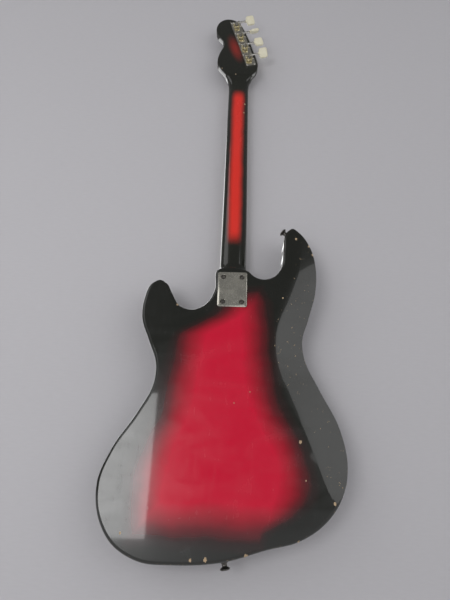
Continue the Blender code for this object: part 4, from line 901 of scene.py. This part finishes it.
# %% Inlays
dot_mesh = small_turned("dot", [(0, 0.12), (3.0, 0.10), (3.2, -0.2), (0, -0.2)], PEARL, 24)
DOT_FRETS = (3, 5, 7, 9, 12, 15, 17, 19)
OCTAVE_FRET = 12
ONE_DOT, TWO_DOTS = (0,), (-0.011, 0.011)
DOT_LIFT = 0.05 * MM
for fret in DOT_FRETS:
    for number, x in enumerate(TWO_DOTS if fret == OCTAVE_FRET else ONE_DOT):
        z = (fret_height(fret) + fret_height(fret - 1)) / 2
        camber = x * x / (2 * BOARD_RADIUS)
        place = Matrix.Translation((x, BOARD_FACE + camber - DOT_LIFT, z)) @ FACING_FRONT
        place_piece(f"inlay_{fret}_{number + 1}", dot_mesh, place)
print("frets with a dot:", DOT_FRETS)

# %% [markdown]
# ## Pickup poles
# Two steel poles show in the cover for each string, one on either side of it. They are turned
# once as a mesh and placed by the spread of the strings over that pickup.

# %% Pickup poles


def string_x(number, spread):
    """The X of a string, from its number and the spread of all the strings there."""
    return spread * (number / (len(STRING_NAMES) - 1) - 0.5)


pole_profile = [(0, 0.8), (1.9, 0.8), (2.35, 0.4), (2.4, -0.3), (0, -0.3)]
pole_mesh = small_turned("pole", pole_profile, STEEL, 16)
POLE_SPREADS = {"neck": 0.0515, "bridge": 0.0545}
POLE_OFFSET = 0.0042
for label, spread in POLE_SPREADS.items():
    low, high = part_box(f"pickup_cover_{label}")
    for string in range(len(STRING_NAMES)):
        for side, off in enumerate((-POLE_OFFSET, POLE_OFFSET)):
            x = string_x(string, spread) + off
            place = Matrix.Translation((x, low.y, (low.z + high.z) / 2)) @ FACING_FRONT
            place_piece(f"pole_{label}_{string * 2 + side + 1}", pole_mesh, place)
print("poles:", 2 * len(STRING_NAMES) * len(POLE_SPREADS))

# %% [markdown]
# ## Control nuts and marks
# A six-sided nut with a flange holds each control under its knob, and a cream line on the knob
# shows how far it is turned. The nut is a turned profile with only six steps round, bored
# through for the shaft, and the line is a small block with its edges broken.

# %% Control nuts and marks
NUT_SIDES = 6
nut_profile = [(0, 2.2), (6.2, 2.2), (6.9, 1.6), (6.9, 0.6), (8.2, 0.6), (8.2, 0.05), (0, 0.05)]
hole_profile = [(0, 5), (5.0, 5), (5.0, -1), (0, -1)]
MARK_SIZE = (0.9 * MM, 0.3 * MM, 5.0 * MM)
MARK_FROM_AXIS = 4.2 * MM
MARK_LIFT = 0.05 * MM
MARK_BREAK = 0.12 * MM
for label in ("volume", "tone"):
    middle = box_middle(f"{label}_shaft")
    nut = link(bpy.data.objects.new(f"{label}_nut", turned_mesh("nut", in_metres(nut_profile), NUT_SIDES)))
    nut.matrix_world = Matrix.Translation((middle.x, GUARD_FACE, middle.z)) @ FACING_FRONT
    hole_mesh = turned_mesh("nut_hole", in_metres(hole_profile), 24)
    hole = link(bpy.data.objects.new("nut_hole", hole_mesh))
    hole.matrix_world = nut.matrix_world
    carved(nut, [hole])
    finished(nut.data, CHROME)
    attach(nut, "root")
    knob_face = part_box(f"{label}_knob")[0].y
    spot = Matrix.Translation((middle.x, knob_face - MARK_LIFT, middle.z + MARK_FROM_AXIS))
    mark = block(f"{label}_mark", MARK_SIZE, spot)
    soft = mark.modifiers.new("round", "BEVEL")
    soft.width = MARK_BREAK
    mark.data.materials.append(CREAM)
    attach(mark, f"{label}_control")
print("nut's width over its flange:", 2 * nut_profile[4][0], "mm")

# %% [markdown]
# ## Ball ends
# Each string starts in a small brass ball that keeps it from slipping through the bridge. The
# ball is a turned profile with a groove, and it hangs below the bridge plate's lower edge.

# %% Ball ends
ball_profile = [(0, 2.6), (1.4, 2.6), (2.4, 2.2), (1.7, 1.3), (2.4, 0.4), (1.4, 0.0), (0, 0.0)]
ball_mesh = small_turned("ball_end", ball_profile, BRASS, 16)
BRIDGE_SPREAD = 0.057
ANCHOR_Y = -0.0095
BALL_GAP = 0.1 * MM
HANGING_DOWN = Matrix.Rotation(math.radians(180), 4, "X")
for number, string in enumerate(STRING_NAMES):
    x = string_x(number, BRIDGE_SPREAD)
    place = Matrix.Translation((x, ANCHOR_Y, bridge_low.z - BALL_GAP)) @ HANGING_DOWN
    place_piece(f"ball_end_{string}", ball_mesh, place)

# %% [markdown]
# ## Studio
# The bass lies against a pale sheet that stands behind it, and a pale floor lies below. The
# sheet's finish is clear from its other side, so the strings can be seen from the front.

# %% Sheet and floor


def plane(name, width, height, place, finish):
    bm = bmesh.new()
    bmesh.ops.create_grid(bm, x_segments=1, y_segments=1, size=0.5)
    bmesh.ops.scale(bm, vec=(width, height, 1), verts=bm.verts)
    mesh = mesh_from(bm, name)
    mesh.materials.append(finish)
    obj = link(bpy.data.objects.new(name, mesh))
    obj.matrix_world = place
    return obj


def pale_finish(name, colour, one_sided=False):
    finish = Finish(name, roughness=0.95, specular=0.1)
    fibre = finish.noise(3 * MM, 4.0, (5.0, 1.0, 1.0))
    shaded = rgba(*(0.86 * channel for channel in colour[:3]))
    finish.put("Base Color", finish.mix(fibre * 0.5, colour, shaded))
    if one_sided:
        behind = finish.flow.node("ShaderNodeNewGeometry", output="Backfacing")
        clear = finish.flow.node("ShaderNodeBsdfTransparent")
        solid = Flow(finish.tree, finish.shader.outputs[0])
        seen = finish.flow.node("ShaderNodeMixShader", inputs={0: behind, 1: solid, 2: clear})
        finish.tree.links.new(seen.socket, finish.tree.nodes["Material Output"].inputs[0])
    return finish.material


SHEET_GREY = rgba(0.56, 0.55, 0.57)
FLOOR_GREY = rgba(0.62, 0.62, 0.63)
SHEET_GAP = 2 * MM
FLOOR_GAP = 0.12
sheet_y = cad_box[0][1] - SHEET_GAP
wall = plane("backdrop_sheet", 8.0, 8.0, Matrix.Translation((0, sheet_y, 0)) @ FACING_BACK,
             pale_finish("pale_sheet", SHEET_GREY, True))
wall.visible_shadow = False
wall.visible_diffuse = False
wall.visible_glossy = False
plane("floor", 12.0, 12.0, Matrix.Translation((0, 0, cad_box[0][2] - FLOOR_GAP)),
      pale_finish("pale_floor", FLOOR_GREY))


print("sheet at", round(sheet_y, 4))

# %% [markdown]
# ## Light
# One bright panel is the window whose mirror image lies in the lacquer of the lower bout. The
# other panels are wide and dim, so that black stays black.

# %% Light


def panel(name, place, aim, width, height, radiance):
    """An area lamp that faces the aim, by its brightness and not by its power."""
    lamp = bpy.data.lights.new(name, "AREA")
    lamp.shape = "RECTANGLE"
    lamp.size = width
    lamp.size_y = height
    lamp.energy = radiance * math.pi * width * height
    obj = link(bpy.data.objects.new(name, lamp))
    obj.location = place
    obj.rotation_euler = (Vector(aim) - Vector(place)).to_track_quat("-Z", "Z").to_euler()


panel("window", (0.76, 1.64, -0.86), (0.76, 0.0, -0.86), 0.80, 0.92, 4.6)
panel("soft_back_left", (1.7, 1.5, 0.5), (0, 0, -0.3), 1.4, 1.8, 0.8)
panel("soft_back_right", (-1.5, 1.7, -0.4), (0, 0, -0.5), 1.6, 2.0, 0.9)
panel("soft_front", (0.9, -1.9, 0.5), (0, 0, -0.4), 1.8, 1.8, 1.6)
panel("front_fill", (-1.6, -1.5, -0.2), (0, 0, -0.5), 1.2, 1.8, 0.9)

world = bpy.data.worlds.new("studio")
bpy.context.scene.world = world
world.use_nodes = True
sky = Flow(world.node_tree)
background = world.node_tree.nodes["Background"]
seen = sky.node("ShaderNodeLightPath", output="Is Camera Ray")
mirrored = sky.node("ShaderNodeLightPath", output="Is Glossy Ray")
lit = sky.node("ShaderNodeMix", {"data_type": "RGBA"},
               {0: mirrored, 6: rgba(0.46, 0.46, 0.47), 7: rgba(0.13, 0.13, 0.13)}, 2)
air = sky.node("ShaderNodeMix", {"data_type": "RGBA"},
               {0: seen, 6: lit, 7: rgba(0.80, 0.80, 0.81)}, 2)
world.node_tree.links.new(air.socket, background.inputs["Color"])
background.inputs["Strength"].default_value = 1.0
bpy.context.scene.view_settings.view_transform = "Standard"
print("lamps:", len(bpy.data.lights))

# %% [markdown]
# ## The box of the solids
# The box of the solids was kept at the start, and the sheet and the floor are placed by it.
# Screws and marks are small and a finish adds no size.
